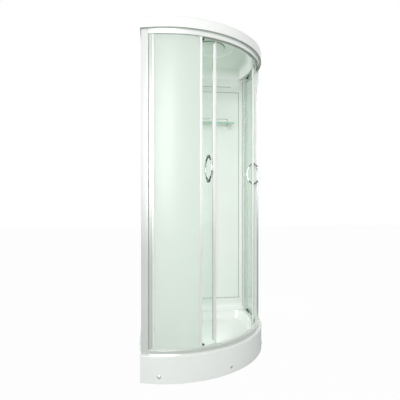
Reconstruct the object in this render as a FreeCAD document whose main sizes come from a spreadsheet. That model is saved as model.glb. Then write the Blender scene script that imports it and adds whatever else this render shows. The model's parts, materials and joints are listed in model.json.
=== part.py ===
"""Quadrant shower enclosure: a curved front with sliding doors on a low tray, two walls and a roof.

Frame: millimetres, +Z up, origin on the floor under the middle of the square that the tray fills.
The room's corner lies at -X, +Y. The front is one circular arc, and every rail, pane and seal of
the front is a section swept about that arc's upright axis.
"""
import FreeCAD, Part
import math
import os

import Sketcher
from FreeCAD import Placement, Rotation, Vector

# Driving dimensions: millimetres, or degrees where the name ends in "angle" or "sweep".
# Angles are measured off the doorway's centre line, about the axis of the front arc.
DRIVING = (
    ("plan_side", 900, "width and depth of the tray"),
    ("arc_inset", 230, "distance of the front arc's axis from each wall"),
    ("roof_top", 2150, "overall height"),
    ("rim_level", 163, "tray rim, under the bottom rail"),
    ("rail_level", 2088, "top of the top rail, under the roof"),
    ("rail_depth", 32, "height of either rail"),
    ("rail_outer", 652, "radius of the rails' outer face"),
    ("rail_inner", 612, "radius of the rails' splash lip"),
    ("rail_lip", 4, "height of that lip"),
    ("rail_box_inner", 628, "radius of the rails' box section, inner face"),
    ("rail_wall", 1.8, "wall of the rail extrusion"),
    ("track_radius", 620.5, "middle of the upstand that the wheels run on"),
    ("track_wall", 1.6, "thickness of that upstand"),
    ("track_rise", 8.2, "running edge above the rail's open side"),
    ("track_shelf", 2.0, "shelf under the upstand, above the rail's open side"),
    ("rail_end_angle", 60.7, "where the rails end"),
    ("rail_cap_sweep", 0.18, "thickness of the rails' end caps"),
    ("glass", 5, "thickness of the toughened panes"),
    ("glass_play", 0.25, "play on each side of a pane in its groove"),
    ("fit_play", 0.2, "play of pieces that are pushed or dropped into place"),
    ("seat_gap", 0.1, "flat feet stand this far off the hollow side of a curved pane"),
    ("edge_round", 1.5, "rounding of trims and rosettes"),
    ("groove_wall", 1.5, "wall round a glass groove"),
    ("groove_depth", 9, "depth of a glass groove in the rails"),
    ("fixed_pane_radius", 640, "inner face of the fixed panes"),
    ("fixed_pane_near_angle", 31.8, "free edge of a fixed pane"),
    ("fixed_pane_far_angle", 60.6, "edge of a fixed pane at its wall post"),
    ("edge_trim_angle", 31.6, "doorway side of the trim on that free edge"),
    ("edge_trim_sweep", 1.9, "width of that trim"),
    ("edge_trim_lip", 4.0, "trim beyond either face of the pane"),
    ("edge_play_angle", 0.01, "play at a pane's edge in its trim"),
    ("fin", 1.2, "thickness of the soft fin that wipes the door"),
    ("fin_angle", 0.8, "fin in from the doorway side of that trim"),
    ("fin_gap", 0.5, "fin to door glass"),
    ("channel_angle", 58.2, "doorway side of the channel at the wall post"),
    ("channel_wall", 1.8, "wall of that channel"),
    ("channel_web_sweep", 0.1, "thickness of its web, against the wall post"),
    ("gasket", 2.0, "thickness of the glazing gaskets"),
    ("gasket_play", 0.1, "gaskets off the pane and off the channel"),
    ("gasket_short", 1, "gaskets short of either rail"),
    ("gasket_angle", 57.9, "where the glazing gaskets begin"),
    ("post_angle", 60.9, "doorway side of the wall posts"),
    ("post_outer", 654, "radius of a wall post's front face"),
    ("post_inner", 638, "radius of a wall post's back face"),
    ("post_wall", 1.8, "wall of a wall post"),
    ("wall_gap", 10, "wall panels and posts stand this far off the room's walls"),
    ("door_pane_radius", 608, "inner face of the door panes"),
    ("door_near_angle", 22.9, "leading edge of a door pane, door half open"),
    ("door_far_angle", 57.7, "trailing edge of a door pane"),
    ("door_pane_low", 181, "bottom edge of a door pane"),
    ("stile_low", 208, "bottom of the aluminium stile on the leading edge"),
    ("stile_angle", 22.75, "leading side of that stile"),
    ("stile_sweep", 1.55, "width of that stile"),
    ("stile_wall", 4.2, "stile beyond either face of the pane"),
    ("magnet_angle", 22.0, "leading side of the magnetic seal"),
    ("magnet_half", 5.5, "half the thickness of the magnetic seal"),
    ("drip_sweep", 0.75, "width of the seal on the trailing edge"),
    ("drip_lip", 1.6, "that seal beyond either face of the pane"),
    ("front_roller_angle", 30.6, "rollers nearer the leading edge"),
    ("rear_roller_angle", 52.4, "rollers nearer the trailing edge"),
    ("wheel_radius", 11, "roller wheel over its flanges"),
    ("tread_radius", 9.5, "bottom of the wheel's groove"),
    ("tread_half", 1.5, "half the width of the wheel's groove"),
    ("tread_gap", 0.3, "clearance between a wheel's tread and its track"),
    ("groove_flank", 0.4, "slope of the sides of that groove"),
    ("wheel_half", 3.5, "half the thickness of a wheel"),
    ("wheel_hollow", 1.2, "depth of the hollows in a wheel's faces"),
    ("hub_wall", 1.5, "ring round a wheel's bore"),
    ("flange_foot", 2, "solid ring under its groove"),
    ("axle_radius", 3, "stub axle of a wheel"),
    ("axle_play", 0.06, "radial running clearance of a wheel"),
    ("axle_slack", 0.4, "play of a wheel along its axle"),
    ("axle_head_radius", 4.5, "radius of the head that keeps the wheel on its axle"),
    ("axle_head", 1.2, "thickness of that head"),
    ("roller_fall", 14, "glass fixing below its wheel's axle"),
    ("bracket_half", 9, "half the width of a roller bracket"),
    ("bracket_crown", 6.5, "half the width of its top"),
    ("bracket_face", 613.2, "radius at which a roller bracket leaves the glass"),
    ("bracket_back", 616.5, "radius at which it ends, behind the wheel"),
    ("bracket_over", 7, "bracket beyond the wheel's axle"),
    ("bolt_hole", 5, "radius of the holes in the door panes"),
    ("bolt_cap", 10, "radius of the roller bolts' caps"),
    ("bolt_cap_rise", 6, "height of those caps"),
    ("handle_angle", 27.1, "handles"),
    ("handle_level", 1269, "middle of the handles"),
    ("handle_half", 75, "half the distance between a handle's fixings"),
    ("handle_reach", 42, "middle of the grip off the glass"),
    ("handle_rod", 5.5, "radius of the handle's rod"),
    ("handle_bend", 93.5, "radius of the handle's curve"),
    ("handle_bend_sweep", 108.2, "how far round that curve the grip goes"),
    ("rosette", 10, "radius of a handle's rosettes"),
    ("rosette_rise", 6, "height of those rosettes"),
    ("bumper_angle", 56.0, "door stops on the top rail"),
    ("bumper_sweep", 0.9, "length of a door stop"),
    ("bumper_rise", 14, "height of a door stop"),
    ("tray_floor", 95, "inside floor of the tray"),
    ("tray_skin", 5, "thickness of the tray's acrylic"),
    ("tray_lip", 8, "height of the tray's rim edge"),
    ("tray_radius", 670, "outer edge of the rim, on the arc side"),
    ("lip_wall", 6, "thickness of the rim's turned-down edge"),
    ("rim_round", 3, "rounding of the outer edges of tray and roof"),
    ("bowl_radius", 596, "tray bowl at the rim, on the arc side"),
    ("bowl_inset", 54, "tray bowl at the rim, from either wall"),
    ("bowl_taper", 14, "draft of the bowl's sides, in degrees"),
    ("bowl_corner", 60, "rounding of the bowl's upright corners"),
    ("bowl_foot", 22, "rounding between the bowl's sides and its floor"),
    ("upstand_level", 216, "top of the tray's upstand, under the wall panels"),
    ("upstand_end", 378.5, "end of the upstands at the posts, off the origin"),
    ("upstand_depth", 20, "top of that upstand, front to back"),
    ("upstand_cove", 40, "hollow rounding between upstand and rim"),
    ("upstand_root", 3, "upstand sunk into the rim"),
    ("apron_radius", 668.5, "outer face of the tray's apron"),
    ("apron_skin", 4, "thickness of the apron"),
    ("apron_end_angle", 64.8, "where the apron ends"),
    ("apron_low", 3, "apron above the floor"),
    ("cap_level", 45, "screw caps on the apron"),
    ("cap_radius", 11, "radius of those caps"),
    ("cap_rise", 4.5, "height of those caps"),
    ("cap_edge", 0.9, "height of their edge"),
    ("cap_pitch", 39.7, "angle from one screw cap to the next"),
    ("cap_first", 54.9, "first screw cap, off the centre line on the left"),
    ("drain_shift", 230, "drain from the origin, to the left and to the back"),
    ("drain_hole", 30, "radius of the waste hole"),
    ("grate_radius", 56, "radius of the waste's cover"),
    ("grate_gap", 2, "edge of that cover above the tray's floor"),
    ("grate_edge", 1.5, "thickness of that edge"),
    ("grate_dome", 3.9, "rise of the cover over its edge"),
    ("stem_radius", 24, "stem of that cover"),
    ("stem_depth", 14, "that stem below the tray's floor"),
    ("trap_radius", 36, "radius of the waste trap"),
    ("trap_flange", 45, "radius of its flange"),
    ("flange_rise", 4, "thickness of that flange"),
    ("trap_neck", 8, "height of the trap's neck"),
    ("trap_bevel", 9, "slope round the trap's foot"),
    ("trap_low", 16, "bottom of the waste trap"),
    ("trap_wall", 3, "wall of the trap and its spigot"),
    ("spigot_level", 42, "middle of the waste spigot"),
    ("spigot_radius", 20, "radius of the waste spigot"),
    ("spigot_end", 340, "end of the spigot, to the left of the origin"),
    ("collar_run", 8, "collar that stops the pipe, off the trap's side"),
    ("collar_rise", 4, "that collar over the spigot"),
    ("frame_bar", 20, "square steel tube under the tray"),
    ("frame_tube_wall", 2, "wall of that tube"),
    ("frame_inset", 50, "middle of the frame's wall-side tubes from either wall"),
    ("frame_end", 330, "end of those tubes, off the origin"),
    ("stub_run", 250, "front stub of the frame, off its diagonal tie"),
    ("stub_leg", 240, "front leg along that stub"),
    ("foot_radius", 22, "radius of a foot"),
    ("foot_rise", 14, "height of a foot"),
    ("foot_edge", 5, "height of a foot's edge"),
    ("foot_cone", 9, "top of a foot's cone"),
    ("foot_neck", 9.5, "radius of a foot's neck"),
    ("leg_radius", 5, "threaded leg"),
    ("thread_play", 0.1, "leg in its nut and in its foot"),
    ("leg_sunk", 8, "leg inside its foot"),
    ("nut_radius", 9, "lock nut, across its corners"),
    ("nut_rise", 6, "height of a lock nut"),
    ("panel_depth", 10, "wall panel over its raised border"),
    ("panel_skin", 4, "thickness of the wall panels' sheet"),
    ("panel_border", 34, "width of the raised border, top and bottom"),
    ("panel_side_border", 23, "width of the raised border at the post"),
    ("panel_bevel", 6, "slope between border and field"),
    ("panel_hollow_inset", 5, "solid edge round the hollow back of the border"),
    ("panel_end", 378, "end of the wall panels at the posts, off the origin"),
    ("panel_level", 2020.6, "top of the wall panels' border, under the roof's skirt"),
    ("corner_size", 22, "corner profile along either wall"),
    ("corner_lap", 10, "thickness of its wings"),
    ("roof_radius", 668, "outer face of the roof's fascia"),
    ("roof_gap", 4, "fascia to the room's walls"),
    ("roof_skin", 4, "thickness of the roof's acrylic"),
    ("roof_lip", 16, "width of the turned-in top edge"),
    ("ceiling_level", 2140, "underside of the ceiling"),
    ("dome_radius", 604, "inside of the dome, on the arc side"),
    ("dome_flat", 530, "where the flat ceiling ends, on the arc side"),
    ("dome_wall", 432, "inside of the dome at either wall, off the origin"),
    ("dome_cove", 146, "width of the hollow rounding at the walls"),
    ("skirt_low", 2021, "bottom of the roof's skirt on the walls"),
    ("skirt_run", 277, "level run of that skirt's lower edge, off the origin"),
    ("skirt_bend", 135.4, "radius on which that edge then rises to the rail"),
    ("skirt_end", 378, "end of that skirt near the wall post, off the origin"),
    ("skirt_play", 0.4, "play round the skirt in the wall panel's rebate"),
    ("skirt_root", 3, "top of the skirt sunk into the roof"),
    ("ring_x", 16, "middle of the ceiling's round cover"),
    ("ring_y", -52, "middle of the ceiling's round cover"),
    ("ring_radius", 114, "radius of that cover"),
    ("ring_drop", 4, "cover below the ceiling"),
    ("ring_round", 2, "rounding of its edge"),
    ("bead_radius", 179, "radius of the moulded bead round the cover"),
    ("bead", 3, "height of that bead"),
    ("shelf_left", -210, "left end of the glass shelf"),
    ("shelf_right", 285, "right end of the glass shelf"),
    ("shelf_level", 1697, "underside of the glass shelf"),
    ("shelf_glass", 6, "thickness of the glass shelf"),
    ("shelf_front", 316, "front edge of the glass shelf"),
    ("shelf_back", 430.5, "back edge of the glass shelf"),
    ("shelf_corner", 14, "rounding of its front corners"),
    ("bracket_x", 250, "right-hand shelf bracket"),
    ("bracket_x_left", -175, "left-hand shelf bracket"),
    ("shelf_arm", 5, "radius of a shelf bracket's arm"),
    ("shelf_plate", 13, "radius of a shelf bracket's wall plate"),
    ("plate_drop", 4, "middle of that plate below the arm"),
    ("plate_rise", 5, "thickness of that plate"),
    ("arm_short", 22, "end of the arm behind the shelf's front edge"),
    ("guard_rod", 3, "radius of the guard rail's rod"),
    ("guard_level", 1729, "middle of the guard rail"),
    ("guard_front", 325, "middle of the guard rail's front run"),
    ("guard_inset", 52, "guard rail in from either end of the shelf"),
    ("guard_bend", 12, "bends of the guard rail"),
    ("guard_pillar", 2.2, "radius of the pillars under its front run"),
    ("pillar_inset", 4, "those pillars from the bends"),
)

doc = FreeCAD.newDocument("quadrant_enclosure")
sizes = doc.addObject("Spreadsheet::Sheet", "Sizes")
for row, (alias, number, meaning) in enumerate(DRIVING, start=1):
    sizes.set(f"A{row}", alias)
    sizes.set(f"B{row}", str(number))
    sizes.set(f"C{row}", meaning)
    sizes.setAlias(f"B{row}", alias)
doc.recompute()


class Size:
    """A length or an angle: its present value, and the sheet formula that keeps it up to date."""

    def __init__(self, value, formula):
        self.value = value
        self.formula = formula

    @staticmethod
    def of(thing):
        return thing if isinstance(thing, Size) else Size(float(thing), f"({thing})")

    def joined(self, value, sign, other):
        if self.formula is None or other.formula is None:
            return Size(value, None)
        return Size(value, f"({self.formula} {sign} {other.formula})")

    def __add__(self, other):
        other = Size.of(other)
        return self.joined(self.value + other.value, "+", other)

    def __sub__(self, other):
        other = Size.of(other)
        return self.joined(self.value - other.value, "-", other)

    def __mul__(self, other):
        other = Size.of(other)
        return self.joined(self.value * other.value, "*", other)

    def __truediv__(self, other):
        other = Size.of(other)
        return self.joined(self.value / other.value, "/", other)

    def __rsub__(self, other):
        return Size.of(other) - self

    def __neg__(self):
        return Size.of(0) - self

    __radd__ = __add__
    __rmul__ = __mul__


class Sheet:
    """Reads a driving dimension by its name, as a Size."""

    def __getattr__(self, alias):
        return Size(float(sizes.get(alias)), f"Sizes.{alias}")


D = Sheet()


def cosine(angle):
    return Size(math.cos(math.radians(angle.value)), f"cos({angle.formula})")


def sine(angle):
    return Size(math.sin(math.radians(angle.value)), f"sin({angle.formula})")


def root(size):
    return Size(math.sqrt(size.value), f"sqrt({size.formula})")


def guess(number):
    """A coordinate that the sketch works out for itself, with a starting value."""
    return Size(number, None)


RADIAN = 57.29578                               # in degrees
OVERRUN = Size.of(5)                            # a tool that cuts runs past the piece by this

# Places worked out from the driving dimensions.
HALF = D.plan_side / 2
AXIS = HALF - D.arc_inset                       # the arc's axis stands at (-AXIS, AXIS)
WALL = HALF - D.wall_gap                        # back faces of the wall panels
RAIL_LOW = D.rail_level - D.rail_depth          # open side of the top rail
MIRROR = D.rail_level + D.rim_level             # a level z at the top matches MIRROR - z below
WHEEL_LEVEL = RAIL_LOW + D.track_rise + D.tread_gap + D.tread_radius
FIXING_LEVEL = WHEEL_LEVEL - D.roller_fall
PANE_TOP = MIRROR - D.door_pane_low
FIXED_PANE_OUTER = D.fixed_pane_radius + D.glass
DOOR_PANE_OUTER = D.door_pane_radius + D.glass
DOORWAY = Size.of(-45)                          # bearing of the doorway's centre line
ZERO = Size.of(0)
LEFT, RIGHT = "left", "right"
LEFT_HAND = {LEFT: -1, RIGHT: 1}


def new_body(label):
    body = doc.addObject("PartDesign::Body", label)
    body.Label = label
    return body


def new_sketch(body, role, offset=None):
    """A sketch on one of the body's own origin planes, moved off it by an attachment offset."""
    sketch = body.newObject("Sketcher::SketchObject", f"{body.Name}_outline")
    plane = next(item for item in body.Origin.OriginFeatures if item.Role == role)
    sketch.AttachmentSupport = [(plane, "")]
    sketch.MapMode = "FlatFace"
    if offset is not None:
        sketch.AttachmentOffset = Placement(Vector(0, 0, offset.value), Rotation())
        sketch.setExpression("AttachmentOffset.Base.z", offset.formula)
    return sketch


def place(thing, x, y, z, bearing=None):
    """Stand an object at (x, y, z), turned about its upright axis to a bearing."""
    spin = Rotation(Vector(0, 0, 1), bearing.value if bearing else 0)
    thing.Placement = Placement(Vector(x.value, y.value, z.value), spin)
    thing.setExpression("Placement.Base.x", x.formula)
    thing.setExpression("Placement.Base.y", y.formula)
    thing.setExpression("Placement.Base.z", z.formula)
    if bearing:
        thing.setExpression("Placement.Rotation.Angle", bearing.formula)


def pin(sketch, kind, geometry, point, size):
    """Hold a point of a sketch at a distance from the origin that the sheet gives."""
    if size.formula is None:
        return
    index = sketch.addConstraint(Sketcher.Constraint(kind, -1, 1, geometry, point, size.value))
    sketch.setExpression(f"Constraints[{index}]", size.formula)


def draw(sketch, corners, arcs=None, closed=True):
    """Draw a line through corners, with an arc in place of each run whose index is in arcs.

    An arc is given as (x, y, radius, turn): its centre, its radius, which may be a guess, and turn,
    1 counterclockwise or -1 clockwise.
    """
    arcs = arcs or {}
    first = sketch.GeometryCount
    count = len(corners)
    runs = count if closed else count - 1
    heads, tails = [], []
    for i in range(runs):
        first_corner, last_corner = corners[i], corners[(i + 1) % count]
        start = Vector(first_corner[0].value, first_corner[1].value, 0)
        end = Vector(last_corner[0].value, last_corner[1].value, 0)
        if i in arcs:
            x, y, radius, turn = arcs[i]
            if all(size.formula for size in (*first_corner, *last_corner)):
                # Both ends are held already, so only the coordinate across the chord is free.
                across = abs(end.x - start.x) >= abs(end.y - start.y)
                x, y = (guess(x.value), y) if across else (x, guess(y.value))
            centre = Vector(x.value, y.value, 0)
            a, b = (start, end) if turn > 0 else (end, start)
            angle_a = math.atan2(a.y - centre.y, a.x - centre.x)
            angle_b = math.atan2(b.y - centre.y, b.x - centre.x)
            circle = Part.Circle(centre, Vector(0, 0, 1), radius.value)
            sketch.addGeometry(Part.ArcOfCircle(circle, angle_a, angle_b))
            pin(sketch, "DistanceX", first + i, 3, x)
            pin(sketch, "DistanceY", first + i, 3, y)
            if radius.formula is not None:
                index = sketch.addConstraint(Sketcher.Constraint("Radius", first + i, radius.value))
                sketch.setExpression(f"Constraints[{index}]", radius.formula)
            heads.append(1 if turn > 0 else 2)
            tails.append(2 if turn > 0 else 1)
        else:
            sketch.addGeometry(Part.LineSegment(start, end))
            heads.append(1)
            tails.append(2)
    for i in range(runs if closed else runs - 1):
        after = (i + 1) % runs
        link = Sketcher.Constraint("Coincident", first + i, tails[i], first + after, heads[after])
        sketch.addConstraint(link)
    for i, (x, y) in enumerate(corners):
        geometry, point = (first + i, heads[i]) if i < runs else (first + runs - 1, tails[-1])
        pin(sketch, "DistanceX", geometry, point, x)
        pin(sketch, "DistanceY", geometry, point, y)


def draw_circle(sketch, x, y, radius):
    circle = Part.Circle(Vector(x.value, y.value, 0), Vector(0, 0, 1), radius.value)
    index = sketch.addGeometry(circle)
    pin(sketch, "DistanceX", index, 3, x)
    pin(sketch, "DistanceY", index, 3, y)
    link = sketch.addConstraint(Sketcher.Constraint("Radius", index, radius.value))
    sketch.setExpression(f"Constraints[{link}]", radius.formula)


def box_outline(x_low, x_high, y_low, y_high):
    return [(x_low, y_low), (x_high, y_low), (x_high, y_high), (x_low, y_high)]


def crown_radius(half, rise):
    """Radius of an arc that rises by an amount over half its width."""
    return (half * half + rise * rise) / (rise * 2)


def drive(feature, name, size):
    setattr(feature, name, size.value)
    feature.setExpression(name, size.formula)


def revolve(body, sketch, sweep, axis="V_Axis", reverse=False, cut=False, midplane=False):
    """Turn a sketch about one of its own axes, adding to the body or cutting from it."""
    kind = "Groove" if cut else "Revolution"
    feature = body.newObject(f"PartDesign::{kind}", f"{body.Name}_turn")
    feature.Profile = sketch
    feature.ReferenceAxis = (sketch, [axis])
    drive(feature, "Angle", sweep)
    feature.Reversed = reverse
    feature.Midplane = midplane
    return feature


def pad(body, sketch, length, reverse=False, taper=None):
    feature = body.newObject("PartDesign::Pad", f"{body.Name}_pad")
    feature.Profile = sketch
    drive(feature, "Length", length)
    feature.Reversed = reverse
    if taper is not None:
        drive(feature, "TaperAngle", taper)
    return feature


def volume_of(body):
    doc.recompute()
    return body.Shape.Volume


def check_cut(body, before):
    """Stop the build where a cut left the body as it was."""
    if not volume_of(body) < before - 1e-6:
        raise RuntimeError(f"{body.Label}: a cut removes nothing")


def pocket(body, sketch, length=None, reverse=False, taper=None):
    """Cut a sketch out of the body, to a length or, with none given, right through."""
    before = volume_of(body)
    feature = body.newObject("PartDesign::Pocket", f"{body.Name}_pocket")
    feature.Profile = sketch
    if length is None:
        feature.Type = "ThroughAll"
    else:
        drive(feature, "Length", length)
    feature.Reversed = reverse
    if taper is not None:
        drive(feature, "TaperAngle", taper)
    check_cut(body, before)
    return feature


def fillet(body, radius, wanted):
    """Round the body's edges for which wanted(edge) is true, in the body's own axes."""
    doc.recompute()
    before = body.Tip
    names = [f"Edge{i}" for i, edge in enumerate(before.Shape.Edges, start=1) if wanted(edge)]
    if not names:
        raise RuntimeError(f"{body.Label}: no edge to round")
    feature = body.newObject("PartDesign::Fillet", f"{body.Name}_fillet")
    feature.Base = (before, names)
    drive(feature, "Radius", radius)
    return feature


def is_upright(edge):
    box = edge.BoundBox
    return box.ZLength > 1 and box.XLength < 0.3 * box.ZLength and box.YLength < 0.3 * box.ZLength


def lies_at(level):
    """Picks the level edges at a height."""
    def picks(edge):
        box = edge.BoundBox
        return box.ZLength < 1e-3 and abs(box.ZMin - level.value) < 1e-3
    return picks


def front_arc_at(level):
    """Picks the long front arc at a level, and leaves the straight sides at the walls sharp."""
    return lambda edge: lies_at(level)(edge) and edge.Length > D.plan_side.value


def bearing_of(side, angle):
    """Bearing of a place that lies an angle off the doorway's centre line, to one side."""
    return DOORWAY + LEFT_HAND[side] * angle


def swept(label, side, near, far, outline):
    """A section (radius, height) swept about the arc's axis from its far angle to its near one."""
    body = new_body(label)
    sketch = new_sketch(body, "XZ_Plane")
    draw(sketch, outline)
    revolve(body, sketch, far - near, reverse=(side == RIGHT))
    place(body, -AXIS, AXIS, ZERO, bearing_of(side, far))
    return body


def turned_sketch(body, role, turn):
    """A sketch on one of the body's own planes, turned about the body's upright axis."""
    sketch = new_sketch(body, role)
    sketch.AttachmentOffset = Placement(Vector(), Rotation(Vector(0, 1, 0), turn.value))
    sketch.setExpression("AttachmentOffset.Rotation.Angle", turn.formula)
    return sketch


def swept_slot(body, side, sweep, outline, left_over=None):
    """Cut a section out of a swept body, from its far end or from an angle in from there."""
    before = volume_of(body)
    if left_over is None:
        sketch = new_sketch(body, "XZ_Plane")
    else:
        sketch = turned_sketch(body, "XZ_Plane", left_over * -LEFT_HAND[side])
    draw(sketch, outline)
    revolve(body, sketch, sweep, reverse=(side == RIGHT), cut=True)
    check_cut(body, before)


def draw_circle_on_axis(sketch, level, radius):
    """A circle whose middle lies on the sketch's upright axis."""
    index = sketch.GeometryCount
    draw_circle(sketch, guess(0), level, radius)
    sketch.addConstraint(Sketcher.Constraint("PointOnObject", index, 3, -2))


def radial_hole(body, turn, level, radius):
    """Bore a hole along a radius of the arc, turned away from the body's own start."""
    sketch = turned_sketch(body, "YZ_Plane", turn)
    draw_circle_on_axis(sketch, level, radius)
    pocket(body, sketch, reverse=True)


def join(label, kind, members):
    """Fuse or common of several objects, as one named part."""
    feature = doc.addObject(f"Part::{kind}", label)
    feature.Shapes = members
    feature.Label = label
    return feature


def cut_away(label, base, tool):
    feature = doc.addObject("Part::Cut", label)
    feature.Base = base
    feature.Tool = tool
    feature.Label = label
    return feature


def group(label, members):
    """Several like pieces, kept as separate solids of one node."""
    feature = doc.addObject("Part::Compound", label)
    feature.Links = members
    feature.Label = label
    return feature


# ---------------------------------------------------------------------------------------------
# Rails: one extrusion, used upright at the bottom and upside down at the top.

def rail_outlines(level):
    """Outline and hollow of the rail; level(height) maps a height above its open side."""
    outer, inner, box_in = D.rail_outer, D.rail_inner, D.rail_box_inner
    wall, high = D.rail_wall, D.rail_depth
    track_in = D.track_radius - D.track_wall / 2
    track_out = D.track_radius + D.track_wall / 2
    slot_in = D.fixed_pane_radius - D.glass_play
    slot_out = FIXED_PANE_OUTER + D.glass_play
    lip = wall + D.rail_lip
    outline = [
        (outer, level(ZERO)), (outer, level(high)),
        (inner, level(high)), (inner, level(high - lip)),
        (inner + wall, level(high - lip)), (inner + wall, level(high - wall)),
        (box_in, level(high - wall)), (box_in, level(D.track_shelf + D.track_wall)),
        (track_out, level(D.track_shelf + D.track_wall)), (track_out, level(D.track_rise)),
        (track_in, level(D.track_rise)), (track_in, level(D.track_shelf)),
        (box_in, level(D.track_shelf)), (box_in, level(ZERO)),
        (slot_in, level(ZERO)), (slot_in, level(D.groove_depth)),
        (slot_out, level(D.groove_depth)), (slot_out, level(ZERO)),
    ]
    rim = D.groove_wall
    hollow = [
        (box_in + wall, level(wall)), (slot_in - rim, level(wall)),
        (slot_in - rim, level(D.groove_depth + rim)), (slot_out + rim, level(D.groove_depth + rim)),
        (slot_out + rim, level(wall)), (outer - wall, level(wall)),
        (outer - wall, level(high - wall)), (box_in + wall, level(high - wall)),
    ]
    return outline, hollow


def above_rail_low(height):
    return RAIL_LOW + height


def below_rail_mirror(height):
    return MIRROR - RAIL_LOW - height


def make_rail(label, level):
    outline, hollow = rail_outlines(level)
    body = swept(label, LEFT, -D.rail_end_angle, D.rail_end_angle, outline)
    draw(body.Group[0], hollow)
    return body


def make_rail_caps():
    caps = []
    play = D.fit_play
    far = D.rail_end_angle + D.rail_cap_sweep
    for side in (LEFT, RIGHT):
        for level in (above_rail_low, below_rail_mirror):
            ends = level(play), level(D.rail_depth - play)
            low, high = sorted(ends, key=lambda size: size.value)
            outline = box_outline(D.rail_inner + play, D.rail_outer - play, low, high)
            name = f"rail_cap_{side}_{level.__name__}"
            caps.append(swept(name, side, D.rail_end_angle, far, outline))
    return group("rail_end_caps", caps)


# ---------------------------------------------------------------------------------------------
# Wall posts and the fixed panes that stand between them and the doors.

def plan_point(side, x, y):
    """A point of the left half of the plan, or its mirror image across the doorway's centre line."""
    return (x, y) if side == LEFT else (-y, -x)


def on_arc(side, radius, angle):
    bearing = bearing_of(side, angle)
    return radius * cosine(bearing) - AXIS, radius * sine(bearing) + AXIS


def post_loop(side, shrink):
    """Plan of a wall post, drawn in by the thickness of its wall for the hollow."""
    turn = 1 if side == LEFT else -1
    outer, inner = D.post_outer - shrink, D.post_inner + shrink
    angle = D.post_angle + shrink / D.post_outer * RADIAN
    wall_x = -WALL + shrink
    reach = wall_x.value + AXIS.value
    outer_y = guess(AXIS.value - math.sqrt(outer.value ** 2 - reach ** 2))
    inner_y = guess(AXIS.value - math.sqrt(inner.value ** 2 - reach ** 2))
    corners = [
        plan_point(side, wall_x, outer_y), on_arc(side, outer, angle),
        on_arc(side, inner, angle), plan_point(side, wall_x, inner_y),
    ]
    arcs = {0: (-AXIS, AXIS, guess(outer.value), turn), 2: (-AXIS, AXIS, guess(inner.value), -turn)}
    return corners, arcs


def make_post(side):
    body = new_body(f"{side}_wall_post")
    sketch = new_sketch(body, "XY_Plane", D.rim_level)
    for shrink in (ZERO, D.post_wall):
        corners, arcs = post_loop(side, shrink)
        draw(sketch, corners, arcs)
    pad(body, sketch, D.rail_level - D.rim_level)
    return body


def make_glass_channel(side):
    """Aluminium channel that holds the fixed pane at its wall post."""
    thick = D.gasket + D.channel_wall
    outline = box_outline(D.fixed_pane_radius - thick, FIXED_PANE_OUTER + thick,
                          D.rim_level + D.rail_depth, RAIL_LOW)
    body = swept(f"{side}_glass_channel", side, D.channel_angle, D.post_angle, outline)
    slot = box_outline(D.fixed_pane_radius - D.gasket, FIXED_PANE_OUTER + D.gasket,
                       D.rim_level, D.rail_level)
    swept_slot(body, side, D.post_angle - D.channel_angle, slot, D.channel_web_sweep)
    return body


def make_gaskets(side):
    """Strips pressed in between the channel and either face of the fixed pane."""
    low, high = D.rim_level + D.rail_depth + D.gasket_short, RAIL_LOW - D.gasket_short
    near, far, play = D.gasket_angle, D.fixed_pane_far_angle, D.gasket_play
    strips = []
    for name, radius in (("inner", D.fixed_pane_radius - D.gasket), ("outer", FIXED_PANE_OUTER)):
        outline = box_outline(radius + play, radius + D.gasket - play, low, high)
        strips.append(swept(f"{side}_{name}_gasket", side, near, far, outline))
    return group(f"{side}_glazing_gaskets", strips)


def make_fixed_pane(side):
    top = RAIL_LOW + D.groove_depth - D.fit_play
    near, far = D.fixed_pane_near_angle, D.fixed_pane_far_angle
    outline = box_outline(D.fixed_pane_radius, FIXED_PANE_OUTER, MIRROR - top, top)
    return swept(f"{side}_fixed_glass", side, near, far, outline)


def pane_slot(inner, low, high):
    """Section of the slot that a trim or a stile has for its pane, past both of its ends."""
    outer = inner + D.glass
    return box_outline(inner - D.glass_play, outer + D.glass_play, low - OVERRUN, high + OVERRUN)


def make_edge_trim(side):
    """Bright trim gripped on the free edge of the fixed pane."""
    low, high = D.rim_level + D.rail_depth + D.fit_play, RAIL_LOW - D.fit_play
    lip = D.edge_trim_lip
    far = D.edge_trim_angle + D.edge_trim_sweep
    outline = box_outline(D.fixed_pane_radius - lip, FIXED_PANE_OUTER + lip, low, high)
    body = swept(f"{side}_fixed_edge_trim", side, D.edge_trim_angle, far, outline)
    depth = far - D.fixed_pane_near_angle + D.edge_play_angle
    swept_slot(body, side, depth, pane_slot(D.fixed_pane_radius, low, high))
    fillet(body, D.edge_round, is_upright_rim)
    return body


def is_upright_rim(edge):
    """Outer upright edges of a trim, which face away from its glass slot."""
    radius = math.hypot(edge.CenterOfMass.x, edge.CenterOfMass.y)
    faces = (D.fixed_pane_radius - D.edge_trim_lip, FIXED_PANE_OUTER + D.edge_trim_lip)
    return is_upright(edge) and min(abs(radius - face.value) for face in faces) < 0.05


def make_wiper(side):
    """Soft fin from that trim to the outer face of the door glass."""
    low, high = D.stile_low, MIRROR - D.stile_low
    near = D.edge_trim_angle + D.fin_angle
    inner = DOOR_PANE_OUTER + D.fin_gap
    outline = box_outline(inner, D.fixed_pane_radius - D.edge_trim_lip, low, high)
    sweep = D.fin / D.fixed_pane_radius * RADIAN
    return swept(f"{side}_wiper_fin", side, near, near + sweep, outline)


# ---------------------------------------------------------------------------------------------
# Doors: pane, stile, seals, handles and roller gear.

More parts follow.
